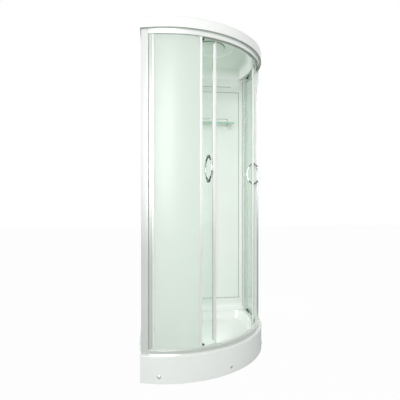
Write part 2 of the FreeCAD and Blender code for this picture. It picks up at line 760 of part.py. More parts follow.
def make_door_pane(side):
    outline = box_outline(D.door_pane_radius, DOOR_PANE_OUTER, D.door_pane_low, PANE_TOP)
    body = swept(f"{side}_door_glass", side, D.door_near_angle, D.door_far_angle, outline)
    holes = []
    for angle in (D.front_roller_angle, D.rear_roller_angle):
        holes += [(angle, FIXING_LEVEL), (angle, MIRROR - FIXING_LEVEL)]
    for rise in (-D.handle_half, D.handle_half):
        holes.append((D.handle_angle, D.handle_level + rise))
    for angle, level in holes:
        turn = (D.door_far_angle - angle) * -LEFT_HAND[side]
        radial_hole(body, turn, level, D.bolt_hole)
    return body


def make_stile(side):
    """Aluminium stile gripped on the leading edge of the door pane."""
    low, high = D.stile_low, MIRROR - D.stile_low
    far = D.stile_angle + D.stile_sweep
    inner, outer = D.door_pane_radius - D.stile_wall, DOOR_PANE_OUTER + D.stile_wall
    body = swept(f"{side}_door_stile", side, D.stile_angle, far, box_outline(inner, outer, low, high))
    depth = far - D.door_near_angle + D.edge_play_angle
    swept_slot(body, side, depth, pane_slot(D.door_pane_radius, low, high))
    return body


def make_magnet_seal(side):
    """Soft magnetic strip on the leading edge, longer than the stile at both ends."""
    middle, half = D.door_pane_radius + D.glass / 2, D.magnet_half
    outline = box_outline(middle - half, middle + half, D.door_pane_low, PANE_TOP)
    return swept(f"{side}_magnetic_seal", side, D.magnet_angle, D.stile_angle, outline)


def make_drip_seal(side):
    """Clear seal gripped on the trailing edge of the door pane."""
    low, high = D.stile_low, MIRROR - D.stile_low
    near = D.door_far_angle - D.drip_sweep / 2
    far = near + D.drip_sweep
    inner, outer = D.door_pane_radius - D.drip_lip, DOOR_PANE_OUTER + D.drip_lip
    body = swept(f"{side}_trailing_seal", side, near, far, box_outline(inner, outer, low, high))
    slot = pane_slot(D.door_pane_radius, low, high)
    swept_slot(body, side, D.drip_sweep, slot, far - D.door_far_angle)
    return body


def radial_body(label, side, angle, level):
    """A body whose X axis is the arc's radius at an angle, at a height."""
    body = new_body(label)
    place(body, -AXIS, AXIS, level, bearing_of(side, angle))
    return body


def make_handle(side, name, glass_face, outward):
    """Bow handle: a rod bent on one arc, standing on two round rosettes."""
    body = radial_body(f"{side}_{name}_handle", side, D.handle_angle, D.handle_level)
    apex = glass_face + D.handle_reach * outward
    hub = apex - D.handle_bend * outward
    grip = new_sketch(body, "XY_Plane")
    draw_circle(grip, apex, guess(0), D.handle_rod)
    grip.addConstraint(Sketcher.Constraint("PointOnObject", 0, 3, -1))
    span = D.handle_half.value
    line = Part.LineSegment(Vector(hub.value, -span, 0), Vector(hub.value, span, 0))
    hub_line = grip.addGeometry(line, True)
    grip.addConstraint(Sketcher.Constraint("Vertical", hub_line))
    pin(grip, "DistanceX", hub_line, 1, hub)
    revolve(body, grip, D.handle_bend_sweep, axis="Axis0", midplane=True)
    foot = new_sketch(body, "YZ_Plane", glass_face)
    for rise in (-D.handle_half, D.handle_half):
        draw_circle_on_axis(foot, rise, D.rosette)
    pad(body, foot, D.rosette_rise, reverse=(outward < 0))
    rim = glass_face.value + D.rosette_rise.value * outward
    fillet(body, D.edge_round, lambda edge: is_rosette_rim(edge, rim))
    return body


def is_rosette_rim(edge, rim):
    """The free rim of a rosette, which is longer than the seam between rosette and rod."""
    box = edge.BoundBox
    is_long = edge.Length > 1.5 * math.pi * D.rosette.value
    return is_long and box.XLength < 1e-3 and abs(box.XMin - rim) < 1e-3


def make_handle_bushes(side):
    bushes = []
    for place_name, rise in (("low", -D.handle_half), ("high", D.handle_half)):
        level = D.handle_level + rise
        body = radial_body(f"{side}_{place_name}_handle_bush", side, D.handle_angle, level)
        sketch = new_sketch(body, "YZ_Plane", D.door_pane_radius)
        draw_circle(sketch, guess(0), guess(0), D.bolt_hole - D.fit_play)
        sketch.addConstraint(Sketcher.Constraint("Coincident", 0, 3, -1, 1))
        pad(body, sketch, D.glass)
        bushes.append(body)
    return group(f"{side}_handle_bushes", bushes)


ROLLERS = (
    ("upper_front", D.front_roller_angle, 1), ("upper_rear", D.rear_roller_angle, 1),
    ("lower_front", D.front_roller_angle, -1), ("lower_rear", D.rear_roller_angle, -1),
)


def roller_level(upward, level):
    return level if upward > 0 else MIRROR - level


def make_bracket(side, name, angle, upward):
    """Roller bracket: a rounded plate on the glass, with the wheel's stub axle."""
    body = radial_body(f"{side}_{name}_bracket", side, angle, roller_level(upward, FIXING_LEVEL))
    half, crown = D.bracket_half, D.bracket_crown
    axle_level = D.roller_fall * upward
    top = axle_level + D.bracket_over * upward
    plate = new_sketch(body, "YZ_Plane", D.bracket_face)
    corners = [(-half, ZERO), (half, ZERO), (crown, top), (-crown, top)]
    draw(plate, corners, {0: (ZERO, ZERO, guess(half.value), upward)})
    pad(body, plate, D.bracket_back - D.bracket_face)
    axle_end = D.track_radius + D.wheel_half + D.axle_slack
    axle = new_sketch(body, "YZ_Plane", D.bracket_back)
    draw_circle_on_axis(axle, axle_level, D.axle_radius)
    pad(body, axle, axle_end - D.bracket_back)
    head = new_sketch(body, "YZ_Plane", axle_end)
    draw_circle_on_axis(head, axle_level, D.axle_head_radius)
    pad(body, head, D.axle_head)
    return body


def make_roller_bolt(side, name, angle, upward):
    """Domed cap inside the glass, with the neck that passes through the pane."""
    body = radial_body(f"{side}_{name}_bolt", side, angle, roller_level(upward, FIXING_LEVEL))
    section = new_sketch(body, "XZ_Plane")
    seat, cap, rise = D.door_pane_radius - D.seat_gap, D.bolt_cap, D.bolt_cap_rise
    neck = D.bolt_hole - D.fit_play
    outline = [
        (seat - rise, ZERO), (D.bracket_face, ZERO), (D.bracket_face, neck),
        (seat, neck), (seat, cap), (seat - rise / 2, cap),
    ]
    crown = crown_radius(cap, rise / 2)
    draw(section, outline, {5: (seat - rise + crown, ZERO, guess(crown.value), 1)})
    revolve(body, section, Size.of(360), axis="H_Axis")
    return body


def make_wheel(side, name, angle, upward):
    """Grooved roller wheel with a plain bore and hollowed faces."""
    level = roller_level(upward, WHEEL_LEVEL)
    body = radial_body(f"{side}_{name}_wheel", side, angle, level)
    section = new_sketch(body, "XZ_Plane")
    middle, tread, rim = D.track_radius, D.tread_radius, D.wheel_radius
    inner, outer = middle - D.wheel_half, middle + D.wheel_half
    bore = D.axle_radius + D.axle_play
    hub = bore + D.hub_wall
    ring = tread - D.flange_foot
    web = outer - D.wheel_hollow
    groove, mouth = D.tread_half, D.tread_half + D.groove_flank
    outline = [
        (inner, bore), (outer, bore), (outer, hub), (web, hub), (web, ring), (outer, ring),
        (outer, rim), (middle + mouth, rim), (middle + groove, tread), (middle - groove, tread),
        (middle - mouth, rim), (inner, rim),
    ]
    draw(section, outline)
    revolve(body, section, Size.of(360), axis="H_Axis")
    return body


def make_bumpers():
    """Rubber stops on the top rail's track shelf, where each door ends its way open."""
    stops = []
    low = RAIL_LOW + D.track_shelf + D.track_wall
    inner = D.track_radius + D.track_wall / 2 + D.fit_play
    outline = box_outline(inner, D.rail_box_inner, low, low + D.bumper_rise)
    far = D.bumper_angle + D.bumper_sweep
    for side in (LEFT, RIGHT):
        stops.append(swept(f"{side}_stop", side, D.bumper_angle, far, outline))
    return group("door_stops", stops)


# ---------------------------------------------------------------------------------------------
# Tray, apron, frame and waste.

def quadrant(sketch, wall, radius):
    """Plan with two straight sides at the walls and one arc between them."""
    reach = math.sqrt(radius.value ** 2 - (wall.value - AXIS.value) ** 2)
    corners = [(-wall, wall), (-wall, guess(AXIS.value - reach)), (guess(reach - AXIS.value), wall)]
    draw(sketch, corners, {1: (-AXIS, AXIS, radius, 1)})


def bowl_outline(body, extra):
    sketch = new_sketch(body, "XY_Plane", D.rim_level)
    quadrant(sketch, HALF - D.bowl_inset + extra, D.bowl_radius + extra)
    return sketch


def make_upstand(side):
    """Raised edge along one wall, with a hollow rounding down to the rim."""
    body = new_body(f"tray_upstand_{side}")
    sketch = new_sketch(body, "XZ_Plane" if side == LEFT else "YZ_Plane")
    flip = -1 if side == LEFT else 1
    back, front, cove = HALF * flip, (HALF - D.upstand_depth) * flip, D.upstand_cove
    foot = (HALF - D.upstand_depth - cove) * flip
    low = D.rim_level - D.upstand_root
    corners = [
        (back, low), (foot, low), (foot, D.rim_level), (front, D.rim_level + cove),
        (front, D.upstand_level), (back, D.upstand_level),
    ]
    draw(sketch, corners, {2: (foot, D.rim_level + cove, guess(cove.value), flip)})
    pad(body, sketch, HALF + D.upstand_end)
    if side == LEFT:
        place(body, ZERO, HALF, ZERO)
    else:
        place(body, -HALF, ZERO, ZERO)
    return body


def make_tray():
    """Moulded shell: rim plate with a turned-down edge, tapered bowl, two upstands, waste hole."""
    rim = new_body("tray_rim")
    edge = new_sketch(rim, "XY_Plane", D.rim_level - D.tray_lip)
    quadrant(edge, HALF, D.tray_radius)
    pad(rim, edge, D.tray_lip)
    fillet(rim, D.rim_round, front_arc_at(D.rim_level))
    under = new_sketch(rim, "XY_Plane", D.rim_level - D.tray_lip)
    quadrant(under, HALF - D.lip_wall, D.tray_radius - D.lip_wall)
    pocket(rim, under, D.tray_lip - D.tray_skin, reverse=True)
    depth = D.rim_level - D.tray_floor
    bowls = []
    for name, extra in (("outside", D.tray_skin), ("inside", ZERO)):
        bowl = new_body(f"tray_bowl_{name}")
        pad(bowl, bowl_outline(bowl, extra), depth + extra, reverse=True, taper=-D.bowl_taper)
        fillet(bowl, D.bowl_corner + extra, is_bowl_corner)
        fillet(bowl, D.bowl_foot + extra, lies_at(D.tray_floor - extra))
        bowls.append(bowl)
    basin = join("tray_basin", "MultiFuse", [rim, bowls[0]])
    upstands = join("tray_upstands", "MultiFuse", [make_upstand(LEFT), make_upstand(RIGHT)])
    shell = join("tray_solid", "MultiFuse", [basin, upstands])
    hole = new_body("tray_waste_hole")
    ring = new_sketch(hole, "XY_Plane", D.tray_floor - D.tray_skin - OVERRUN)
    draw_circle(ring, -D.drain_shift, D.drain_shift, D.drain_hole)
    pad(hole, ring, D.tray_skin + OVERRUN * 2)
    tools = join("tray_hollow", "MultiFuse", [bowls[1], hole])
    return cut_away("tray", shell, tools)


def is_bowl_corner(edge):
    """The three slanting edges between the bowl's sides, which run from rim to floor."""
    depth = D.rim_level - D.tray_floor
    return edge.BoundBox.ZLength > depth.value / 2


def make_apron():
    top = D.rim_level - D.tray_lip - D.fit_play
    outline = box_outline(D.apron_radius - D.apron_skin, D.apron_radius, D.apron_low, top)
    return swept("tray_apron", LEFT, -D.apron_end_angle, D.apron_end_angle, outline)


def make_screw_caps():
    """Low domes over the apron's screws."""
    caps = []
    face, radius, rise, edge = D.apron_radius, D.cap_radius, D.cap_rise, D.cap_edge
    outline = [(face, ZERO), (face + rise, ZERO), (face + edge, radius), (face, radius)]
    crown = crown_radius(radius, rise - edge)
    for i in range(3):
        angle = D.cap_first - D.cap_pitch * i
        body = radial_body(f"screw_cap_{i + 1}", LEFT, angle, D.cap_level)
        section = new_sketch(body, "XZ_Plane")
        draw(section, outline, {1: (face + rise - crown, ZERO, guess(crown.value), 1)})
        revolve(body, section, Size.of(360), axis="H_Axis")
        caps.append(body)
    return group("apron_screw_caps", caps)


def bar(label, x, y, length, bearing, width, start):
    """Square bar of the frame, from a starting point along a bearing."""
    body = new_body(label)
    sketch = new_sketch(body, "YZ_Plane", start)
    low = D.tray_floor - D.tray_skin - D.frame_bar / 2
    draw(sketch, box_outline(-width / 2, width / 2, low - width / 2, low + width / 2))
    pad(body, sketch, length)
    place(body, x, y, ZERO, bearing)
    return body


def make_frame():
    """Welded frame of square tube: two sides along the walls, a diagonal tie and a front stub."""
    wall, end = HALF - D.frame_inset, D.frame_end
    side = wall + end
    tie = side * root(Size.of(2))
    middle_x, middle_y = side / 2 - wall, side / 2 - end
    hollow = D.frame_bar - D.frame_tube_wall * 2
    skins = []
    for name, width, over in (("outer", D.frame_bar, ZERO), ("inner", hollow, OVERRUN)):
        start = -D.frame_bar / 2 - over
        run = side - start * 2
        members = [
            bar(f"frame_left_{name}", -wall, wall, run, Size.of(-90), width, start),
            bar(f"frame_back_{name}", -wall, wall, run, ZERO, width, start),
            bar(f"frame_tie_{name}", -wall, -end, tie, Size.of(45), width, ZERO),
            bar(f"frame_stub_{name}", middle_x, middle_y, D.stub_run + over, DOORWAY, width, ZERO),
        ]
        skins.append(join(f"frame_{name}", "MultiFuse", members))
    return cut_away("tray_frame", skins[0], skins[1])


def leg_points():
    """Where the legs stand: the three ends of the sides, the middle of the tie, and the stub."""
    wall, end = HALF - D.frame_inset, D.frame_end
    middle = (end - wall) / 2
    front = middle + D.stub_leg * cosine(DOORWAY)
    return [(-wall, wall), (-wall, -end), (end, wall), (middle, -middle), (front, -front)]


def make_legs():
    """Threaded legs, their lock nuts and the feet that they stand in."""
    legs, nuts, feet = [], [], []
    top = D.tray_floor - D.tray_skin - D.frame_bar
    rise, bore = D.foot_rise, D.leg_radius + D.thread_play
    sink = rise - D.leg_sunk
    foot_outline = [
        (ZERO, ZERO), (D.foot_radius, ZERO), (D.foot_radius, D.foot_edge), (D.foot_neck, D.foot_cone),
        (D.foot_neck, rise), (bore, rise), (bore, sink), (ZERO, sink),
    ]
    for i, (x, y) in enumerate(leg_points(), start=1):
        leg = new_body(f"leg_{i}")
        sketch = new_sketch(leg, "XY_Plane", sink)
        draw_circle(sketch, x, y, D.leg_radius)
        pad(leg, sketch, top - sink)
        legs.append(leg)
        nut = new_body(f"nut_{i}")
        outline = new_sketch(nut, "XY_Plane", top - D.nut_rise)
        for step in range(6):
            outline.addGeometry(hexagon_side(x.value, y.value, D.nut_radius.value, step))
        for step in range(6):
            outline.addConstraint(Sketcher.Constraint("Coincident", step, 2, (step + 1) % 6, 1))
        draw_circle(outline, x, y, bore)
        pad(nut, outline, D.nut_rise)
        nuts.append(nut)
        foot = new_body(f"foot_{i}")
        section = new_sketch(foot, "XZ_Plane")
        draw(section, foot_outline)
        revolve(foot, section, Size.of(360))
        place(foot, x, y, ZERO)
        feet.append(foot)
    return [group("frame_legs", legs), group("leg_nuts", nuts), group("frame_feet", feet)]


def hexagon_side(x, y, radius, step):
    """One side of a lock nut's outline."""
    ends = []
    for corner in (step, step + 1):
        angle = math.radians(60 * corner)
        ends.append(Vector(x + radius * math.cos(angle), y + radius * math.sin(angle), 0))
    return Part.LineSegment(*ends)


def make_trap():
    """Waste trap under the tray: a cup with a flange, and a spigot for the waste pipe."""
    cup = new_body("trap_cup")
    section = new_sketch(cup, "XZ_Plane")
    top, low = D.tray_floor - D.tray_skin, D.trap_low
    radius, wall, bevel = D.trap_radius, D.trap_wall, D.trap_bevel
    inside, floor = radius - wall, low + wall
    under_flange, neck = top - D.flange_rise, top - D.trap_neck
    outline = [
        (ZERO, low), (radius - bevel, low), (radius, low + bevel), (radius, under_flange),
        (D.trap_flange, under_flange), (D.trap_flange, top), (D.drain_hole, top), (D.drain_hole, neck),
        (inside, neck - wall), (inside, floor + bevel), (inside - bevel, floor), (ZERO, floor),
    ]
    draw(section, outline)
    revolve(cup, section, Size.of(360))
    place(cup, -D.drain_shift, D.drain_shift, ZERO)
    end, spigot = D.spigot_end - D.drain_shift, D.spigot_radius
    pipe = make_spigot_piece("pipe", spigot, inside, end)
    collar = make_spigot_piece("collar", spigot + D.collar_rise, inside - wall, radius + D.collar_run)
    bore = make_spigot_piece("bore", spigot - wall, inside - wall * 2, end + OVERRUN)
    return cut_away("waste_trap", join("trap_solid", "MultiFuse", [cup, pipe, collar]), bore)


def make_spigot_piece(name, radius, start, end):
    """A cylinder that lies along the spigot, between two distances from the drain's axis."""
    body = new_body(f"trap_spigot_{name}")
    ring = new_sketch(body, "YZ_Plane", start)
    draw_circle_on_axis(ring, D.spigot_level, radius)
    pad(body, ring, end - start)
    place(body, -D.drain_shift, D.drain_shift, ZERO, Size.of(180))
    return body


def make_grate():
    """Bright cover over the waste hole: a shallow dome on a stem."""
    body = new_body("waste_cover")
    section = new_sketch(body, "XZ_Plane")
    radius, stem = D.grate_radius, D.stem_radius
    foot, under = D.tray_floor - D.stem_depth, D.tray_floor + D.grate_gap
    edge = under + D.grate_edge
    top = edge + D.grate_dome
    crown = crown_radius(radius, D.grate_dome)
    outline = [(ZERO, foot), (stem, foot), (stem, under), (radius, under), (radius, edge), (ZERO, top)]
    draw(section, outline, {4: (ZERO, top - crown, guess(crown.value), 1)})
    revolve(body, section, Size.of(360))
    place(body, -D.drain_shift, D.drain_shift, ZERO)
    return body


# ---------------------------------------------------------------------------------------------
# Walls and the shelf.

def make_wall_panel(side):
    """Moulded sheet: a raised border round a flat field, hollow behind the border."""
    body = new_body(f"{side}_wall_blank")
    low, high = D.upstand_level, D.panel_level
    corner, end = WALL - D.corner_size, D.panel_end
    depth, skin, bevel, border = D.panel_depth, D.panel_skin, D.panel_bevel, D.panel_border
    sheet = new_sketch(body, "XZ_Plane")
    draw(sheet, box_outline(*across(side, corner, end), low, D.rail_level - D.skirt_play))
    pad(body, sheet, depth)
    field = (*across(side, corner - border, end - D.panel_side_border), low + border, high - border)
    rebate = new_body(f"{side}_skirt_rebate")
    edge = new_sketch(rebate, "XZ_Plane", skin)
    draw_skirt(edge, side, D.skirt_play)
    pad(rebate, edge, depth)
    sunk_field = field_tool(side, field, bevel, depth, skin)
    tools = join(f"{side}_panel_tools", "MultiFuse", [sunk_field, rebate])
    shaped = cut_away(f"{side}_panel_shaped", body, tools)
    inset = D.panel_hollow_inset
    outer = (*across(side, corner - inset, end - inset), low + inset, high - inset)
    island = tuple(edge + step for edge, step in zip(field, (-bevel, bevel, -bevel, bevel)))
    return cut_away(f"{side}_panel_sheet", shaped, recess_tool(side, outer, island, depth - skin))


def across(side, corner, end):
    """Low and high X of a flat panel whose corner edge is at the left for the right-hand wall."""
    return (-corner, end) if side == RIGHT else (-end, corner)


def field_tool(side, field, bevel, front, back):
    """Frustum that sinks the field into the front of a panel, with sloping sides."""
    x_low, x_high, z_low, z_high = field
    body = new_body(f"{side}_field_tool")
    sections = []
    for depth, spread in ((front, bevel), (back, ZERO)):
        sketch = new_sketch(body, "XZ_Plane", depth)
        draw(sketch, box_outline(x_low - spread, x_high + spread, z_low - spread, z_high + spread))
        sections.append(sketch)
    loft = body.newObject("PartDesign::AdditiveLoft", f"{body.Name}_loft")
    loft.Profile = sections[0]
    loft.Sections = [sections[1]]
    loft.Ruled = True
    return body


def recess_tool(side, outer, island, depth):
    """Frame-shaped block that hollows the back of a panel behind its border."""
    body = new_body(f"{side}_recess_tool")
    sketch = new_sketch(body, "XZ_Plane")
    draw(sketch, box_outline(*outer))
    draw(sketch, box_outline(*island))
    pad(body, sketch, depth)
    return body


def stand_on_wall(feature, side, back):
    """Turn a piece made flat on the XZ plane to its own wall, its back off the origin by back."""
    if side == RIGHT:
        place(feature, ZERO, back, ZERO)
    else:
        place(feature, -back, ZERO, ZERO, Size.of(90))
    return feature


def make_corner_post():
    """Corner profile between the two wall panels, with a hollow rounding towards the room."""
    body = new_body("corner_profile")
    sketch = new_sketch(body, "XY_Plane", D.upstand_level)
    size, lap = D.corner_size, D.corner_lap
    corners = [
        (-WALL, WALL), (-WALL, WALL - size), (-WALL + lap, WALL - size),
        (-WALL + size, WALL - lap), (-WALL + size, WALL),
    ]
    draw(sketch, corners, {2: (-WALL + size, WALL - size, guess((size - lap).value), -1)})
    pad(body, sketch, D.panel_level - D.upstand_level)
    return body


def make_shelf():
    body = new_body("shelf_glass")
    sketch = new_sketch(body, "XY_Plane", D.shelf_level)
    draw(sketch, box_outline(D.shelf_left, D.shelf_right, D.shelf_front, D.shelf_back))
    pad(body, sketch, D.shelf_glass)
    front = D.shelf_front.value
    fillet(body, D.shelf_corner, lambda edge: is_upright(edge) and edge.BoundBox.YMin < front + 1)
    return body


def make_shelf_brackets():
    """Two bright brackets: a round wall plate and an arm under the glass."""
    brackets = []
    back, level = WALL - D.panel_skin, D.shelf_level - D.shelf_arm
    for name, x in (("left", D.bracket_x_left), ("right", D.bracket_x)):
        body = new_body(f"shelf_bracket_{name}")
        plate = new_sketch(body, "XZ_Plane")
        draw_circle(plate, x, level - D.plate_drop, D.shelf_plate)
        pad(body, plate, D.plate_rise)
        arm = new_sketch(body, "XZ_Plane")
        draw_circle(arm, x, level, D.shelf_arm)
        pad(body, arm, back - D.shelf_front - D.arm_short)
        place(body, ZERO, back, ZERO)
        brackets.append(body)
    return group("shelf_brackets", brackets)


def make_guard():
    """Guard rail round the shelf: one rod bent at two corners, on two short pillars."""
    rod = new_body("guard_rod")
    path = new_sketch(rod, "XY_Plane", D.guard_level)
    left, right = D.shelf_left + D.guard_inset, D.shelf_right - D.guard_inset
    bend, front = D.guard_bend, D.guard_front
    back = WALL - D.panel_skin
    corners = [
        (left, back), (left, front + bend), (left + bend, front),
        (right - bend, front), (right, front + bend), (right, back),
    ]
    arcs = {
        1: (left + bend, front + bend, guess(bend.value), 1),
        3: (right - bend, front + bend, guess(bend.value), 1),
    }
    draw(path, corners, arcs, closed=False)
    end = new_sketch(rod, "XZ_Plane", -back)
    draw_circle(end, left, D.guard_level, D.guard_rod)
    sweep = rod.newObject("PartDesign::AdditivePipe", "guard_sweep")
    sweep.Profile = end
    sweep.Spine = path
    pillars = []
    shelf_top, inset = D.shelf_level + D.shelf_glass, bend + D.pillar_inset
    for name, x in (("left", left + inset), ("right", right - inset)):
        pillar = new_body(f"guard_pillar_{name}")
        foot = new_sketch(pillar, "XY_Plane", shelf_top)
        draw_circle(foot, x, front, D.guard_pillar)
        pad(pillar, foot, D.guard_level - shelf_top)
        pillars.append(pillar)
    return join("shelf_guard_rail", "MultiFuse", [rod] + pillars)


# ---------------------------------------------------------------------------------------------
# Roof.

def dome_form(name, extra):
    """Inside or outside of the dome: a turned cap, trimmed by a vault along each wall."""
    low = RAIL_LOW
    top = D.ceiling_level + extra
    rim = D.dome_radius + extra
    cap = new_body(f"dome_cap_{name}")
    section = new_sketch(cap, "XZ_Plane")
    run, rise = D.dome_radius - D.dome_flat, D.ceiling_level - D.rail_level
    hub = (D.ceiling_level + D.rail_level - run * run / rise) / 2
    bend = top - hub
    shoulder = guess(hub.value + math.sqrt(bend.value ** 2 - (rim.value - D.dome_flat.value) ** 2))
    draw(section, [(ZERO, low), (rim, low), (rim, shoulder), (D.dome_flat, top), (ZERO, top)],
         {2: (D.dome_flat, hub, guess(bend.value), 1)})
    revolve(cap, section, Size.of(360))
    place(cap, -AXIS, AXIS, ZERO)
    vaults = [cap]
    for side in (LEFT, RIGHT):
        flip = -1 if side == LEFT else 1
        vault = new_body(f"dome_vault_{side}_{name}")
        sketch = new_sketch(vault, "XZ_Plane" if side == LEFT else "YZ_Plane")
        wall = D.dome_wall + extra
        flat = D.dome_wall - D.dome_cove
        hub = (D.ceiling_level + D.rail_level - D.dome_cove * D.dome_cove / rise) / 2
        bend = top - hub
        eave = guess(hub.value + math.sqrt(bend.value ** 2 - (wall.value - flat.value) ** 2))
        corners = [(wall * flip, low), (wall * flip, eave), (flat * flip, top),
                   (-HALF * flip, top), (-HALF * flip, low)]
        draw(sketch, corners, {1: (flat * flip, hub, guess(bend.value), flip)})
        pad(vault, sketch, D.plan_side)
        place(vault, *((ZERO, HALF, ZERO) if side == LEFT else (-HALF, ZERO, ZERO)))
        vaults.append(vault)
    return join(f"dome_{name}", "MultiCommon", vaults)


def draw_skirt(sketch, side, play):
    """Outline of the roof's skirt on a wall: level at first, then rising on one bend to the rail."""
    flip = 1 if side == RIGHT else -1
    low, top, bend = D.skirt_low - play, D.rail_level + D.skirt_root, D.skirt_bend
    run, end = D.skirt_run, D.skirt_end + play * 2
    rise = guess(low.value + bend.value - math.sqrt(bend.value ** 2 - (end.value - run.value) ** 2))
    corners = [
        (-WALL * flip, low), (run * flip, low), (end * flip, rise), (end * flip, top),
        (-WALL * flip, top),
    ]
    draw(sketch, corners, {1: (run * flip, low + bend, guess(bend.value), flip)})


def make_skirt(side):
    """Flat skirt of the roof on one wall."""
    body = new_body(f"roof_skirt_{side}")
    back = WALL - D.panel_skin - D.fit_play
    sketch = new_sketch(body, "XZ_Plane")
    draw_skirt(sketch, side, ZERO)
    pad(body, sketch, back - D.dome_wall)
    return stand_on_wall(body, side, back)


def make_roof():
    """Moulded roof: fascia band with a turned-in edge, flange on the rail, and the dome."""
    skin = D.roof_skin
    wall = HALF - D.roof_gap
    band = new_body("roof_band")
    outline = new_sketch(band, "XY_Plane", D.rail_level)
    quadrant(outline, wall, D.roof_radius)
    pad(band, outline, D.roof_top - D.rail_level)
    fillet(band, D.rim_round, front_arc_at(D.roof_top))
    inside = new_sketch(band, "XY_Plane", D.rail_level + skin)
    quadrant(inside, wall - skin, D.roof_radius - skin)
    pocket(band, inside, D.roof_top - D.rail_level - skin * 2, reverse=True)
    mouth = new_sketch(band, "XY_Plane", D.roof_top - skin)
    quadrant(mouth, wall - skin, D.roof_radius - D.roof_lip)
    pocket(band, mouth, skin, reverse=True)
    outside, hollow = dome_form("outside", skin), dome_form("inside", ZERO)
    ring = new_body("ceiling_bead")
    bead = new_sketch(ring, "XZ_Plane")
    middle, half = D.bead_radius, D.bead
    low, sunk = D.ceiling_level - half, D.ceiling_level + half / 3
    draw(bead, [(middle - half * 2, sunk), (middle - half, low), (middle + half, low),
                (middle + half * 2, sunk)])
    revolve(ring, bead, Size.of(360))
    place(ring, D.ring_x, D.ring_y, ZERO)
    slab = new_body("roof_floor_trim")
    below = new_sketch(slab, "XY_Plane", D.rail_level - D.rail_depth * 2)
    draw(below, box_outline(-D.plan_side, D.plan_side, -D.plan_side, D.plan_side))
    pad(slab, below, D.rail_depth * 2)
    cap = cut_away("dome_above_rail", outside, slab)
    solid = join("roof_solid", "MultiFuse", [band, cap])
    open_roof = cut_away("roof_open", solid, hollow)
    return join("roof", "MultiFuse", [open_roof, ring, make_skirt(LEFT), make_skirt(RIGHT)])


def make_ceiling_cover():
    body = new_body("ceiling_cover")
    sketch = new_sketch(body, "XY_Plane", D.ceiling_level - D.ring_drop)
    draw_circle(sketch, D.ring_x, D.ring_y, D.ring_radius)
    pad(body, sketch, D.ring_drop)
    fillet(body, D.ring_round, lies_at(D.ceiling_level - D.ring_drop))
    return body


# ---------------------------------------------------------------------------------------------
# Build every node, check it and write it out.

nodes = {}


def keep(name, feature):
    feature.Label = name
    nodes[name] = feature


keep("tray", make_tray())
keep("tray_apron", make_apron())
keep("apron_screw_caps", make_screw_caps())
keep("tray_frame", make_frame())
for part in make_legs():
    keep(part.Label, part)
keep("waste_trap", make_trap())
keep("waste_cover", make_grate())
keep("top_rail", make_rail("top_rail", above_rail_low))
keep("bottom_rail", make_rail("bottom_rail", below_rail_mirror))
keep("rail_end_caps", make_rail_caps())
keep("door_stops", make_bumpers())
keep("corner_profile", make_corner_post())
for hand in (LEFT, RIGHT):
    keep(f"{hand}_wall_panel", stand_on_wall(make_wall_panel(hand), hand, WALL))
    keep(f"{hand}_wall_post", make_post(hand))
    keep(f"{hand}_glass_channel", make_glass_channel(hand))
    keep(f"{hand}_glazing_gaskets", make_gaskets(hand))
    keep(f"{hand}_fixed_glass", make_fixed_pane(hand))
    keep(f"{hand}_fixed_edge_trim", make_edge_trim(hand))
    keep(f"{hand}_wiper_fin", make_wiper(hand))
    keep(f"{hand}_door_glass", make_door_pane(hand))
    keep(f"{hand}_door_stile", make_stile(hand))
    keep(f"{hand}_magnetic_seal", make_magnet_seal(hand))
    keep(f"{hand}_trailing_seal", make_drip_seal(hand))
    keep(f"{hand}_outer_handle", make_handle(hand, "outer", DOOR_PANE_OUTER, 1))
    keep(f"{hand}_inner_handle", make_handle(hand, "inner", D.door_pane_radius - D.seat_gap, -1))
    keep(f"{hand}_handle_bushes", make_handle_bushes(hand))
    brackets = [make_bracket(hand, *roller) for roller in ROLLERS]
    keep(f"{hand}_roller_brackets", group(f"{hand}_roller_brackets", brackets))
    bolts = [make_roller_bolt(hand, *roller) for roller in ROLLERS]
    keep(f"{hand}_roller_bolts", group(f"{hand}_roller_bolts", bolts))
    for roller in ROLLERS:
        keep(f"{hand}_{roller[0]}_wheel", make_wheel(hand, *roller))
keep("shelf_glass", make_shelf())
keep("shelf_brackets", make_shelf_brackets())
keep("shelf_guard_rail", make_guard())
keep("roof", make_roof())
keep("ceiling_cover", make_ceiling_cover())

doc.recompute()
for item in doc.Objects:
    if "Invalid" in item.State or "Error" in item.State:
        raise RuntimeError(f"{item.Label} did not build: {item.State}")
for name, feature in nodes.items():
    if feature.Shape.isNull() or not feature.Shape.isValid() or not feature.Shape.Solids:
        raise RuntimeError(f"{name} is not a valid solid")

os.makedirs("parts", exist_ok=True)
for name, feature in nodes.items():
    feature.Shape.exportStep(f"parts/{name}.step")
    shape, box = feature.Shape, feature.Shape.BoundBox
    print(f"{name:24s} solids {len(shape.Solids)} volume {shape.Volume / 1000:9.1f} cm3",
          f"x {box.XMin:7.1f} {box.XMax:7.1f} y {box.YMin:7.1f} {box.YMax:7.1f}",
          f"z {box.ZMin:7.1f} {box.ZMax:7.1f}")
print(len(nodes), "nodes")
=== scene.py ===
# %% [markdown]
# # A quadrant shower enclosure
#
# A corner shower cabin stands on a low tray. Its front is one circular arc of glass: two fixed
# frosted panes at the walls, and two clear doors that roll along curved rails to meet in the middle.
# Behind them are two glossy wall panels, a glass shelf, and a domed roof.
#
# The imported model gives the size and the place of every part, so it is loaded first.

# %% Load the frame
import json
import math

import bmesh
import bpy
from mathutils import Matrix, Vector


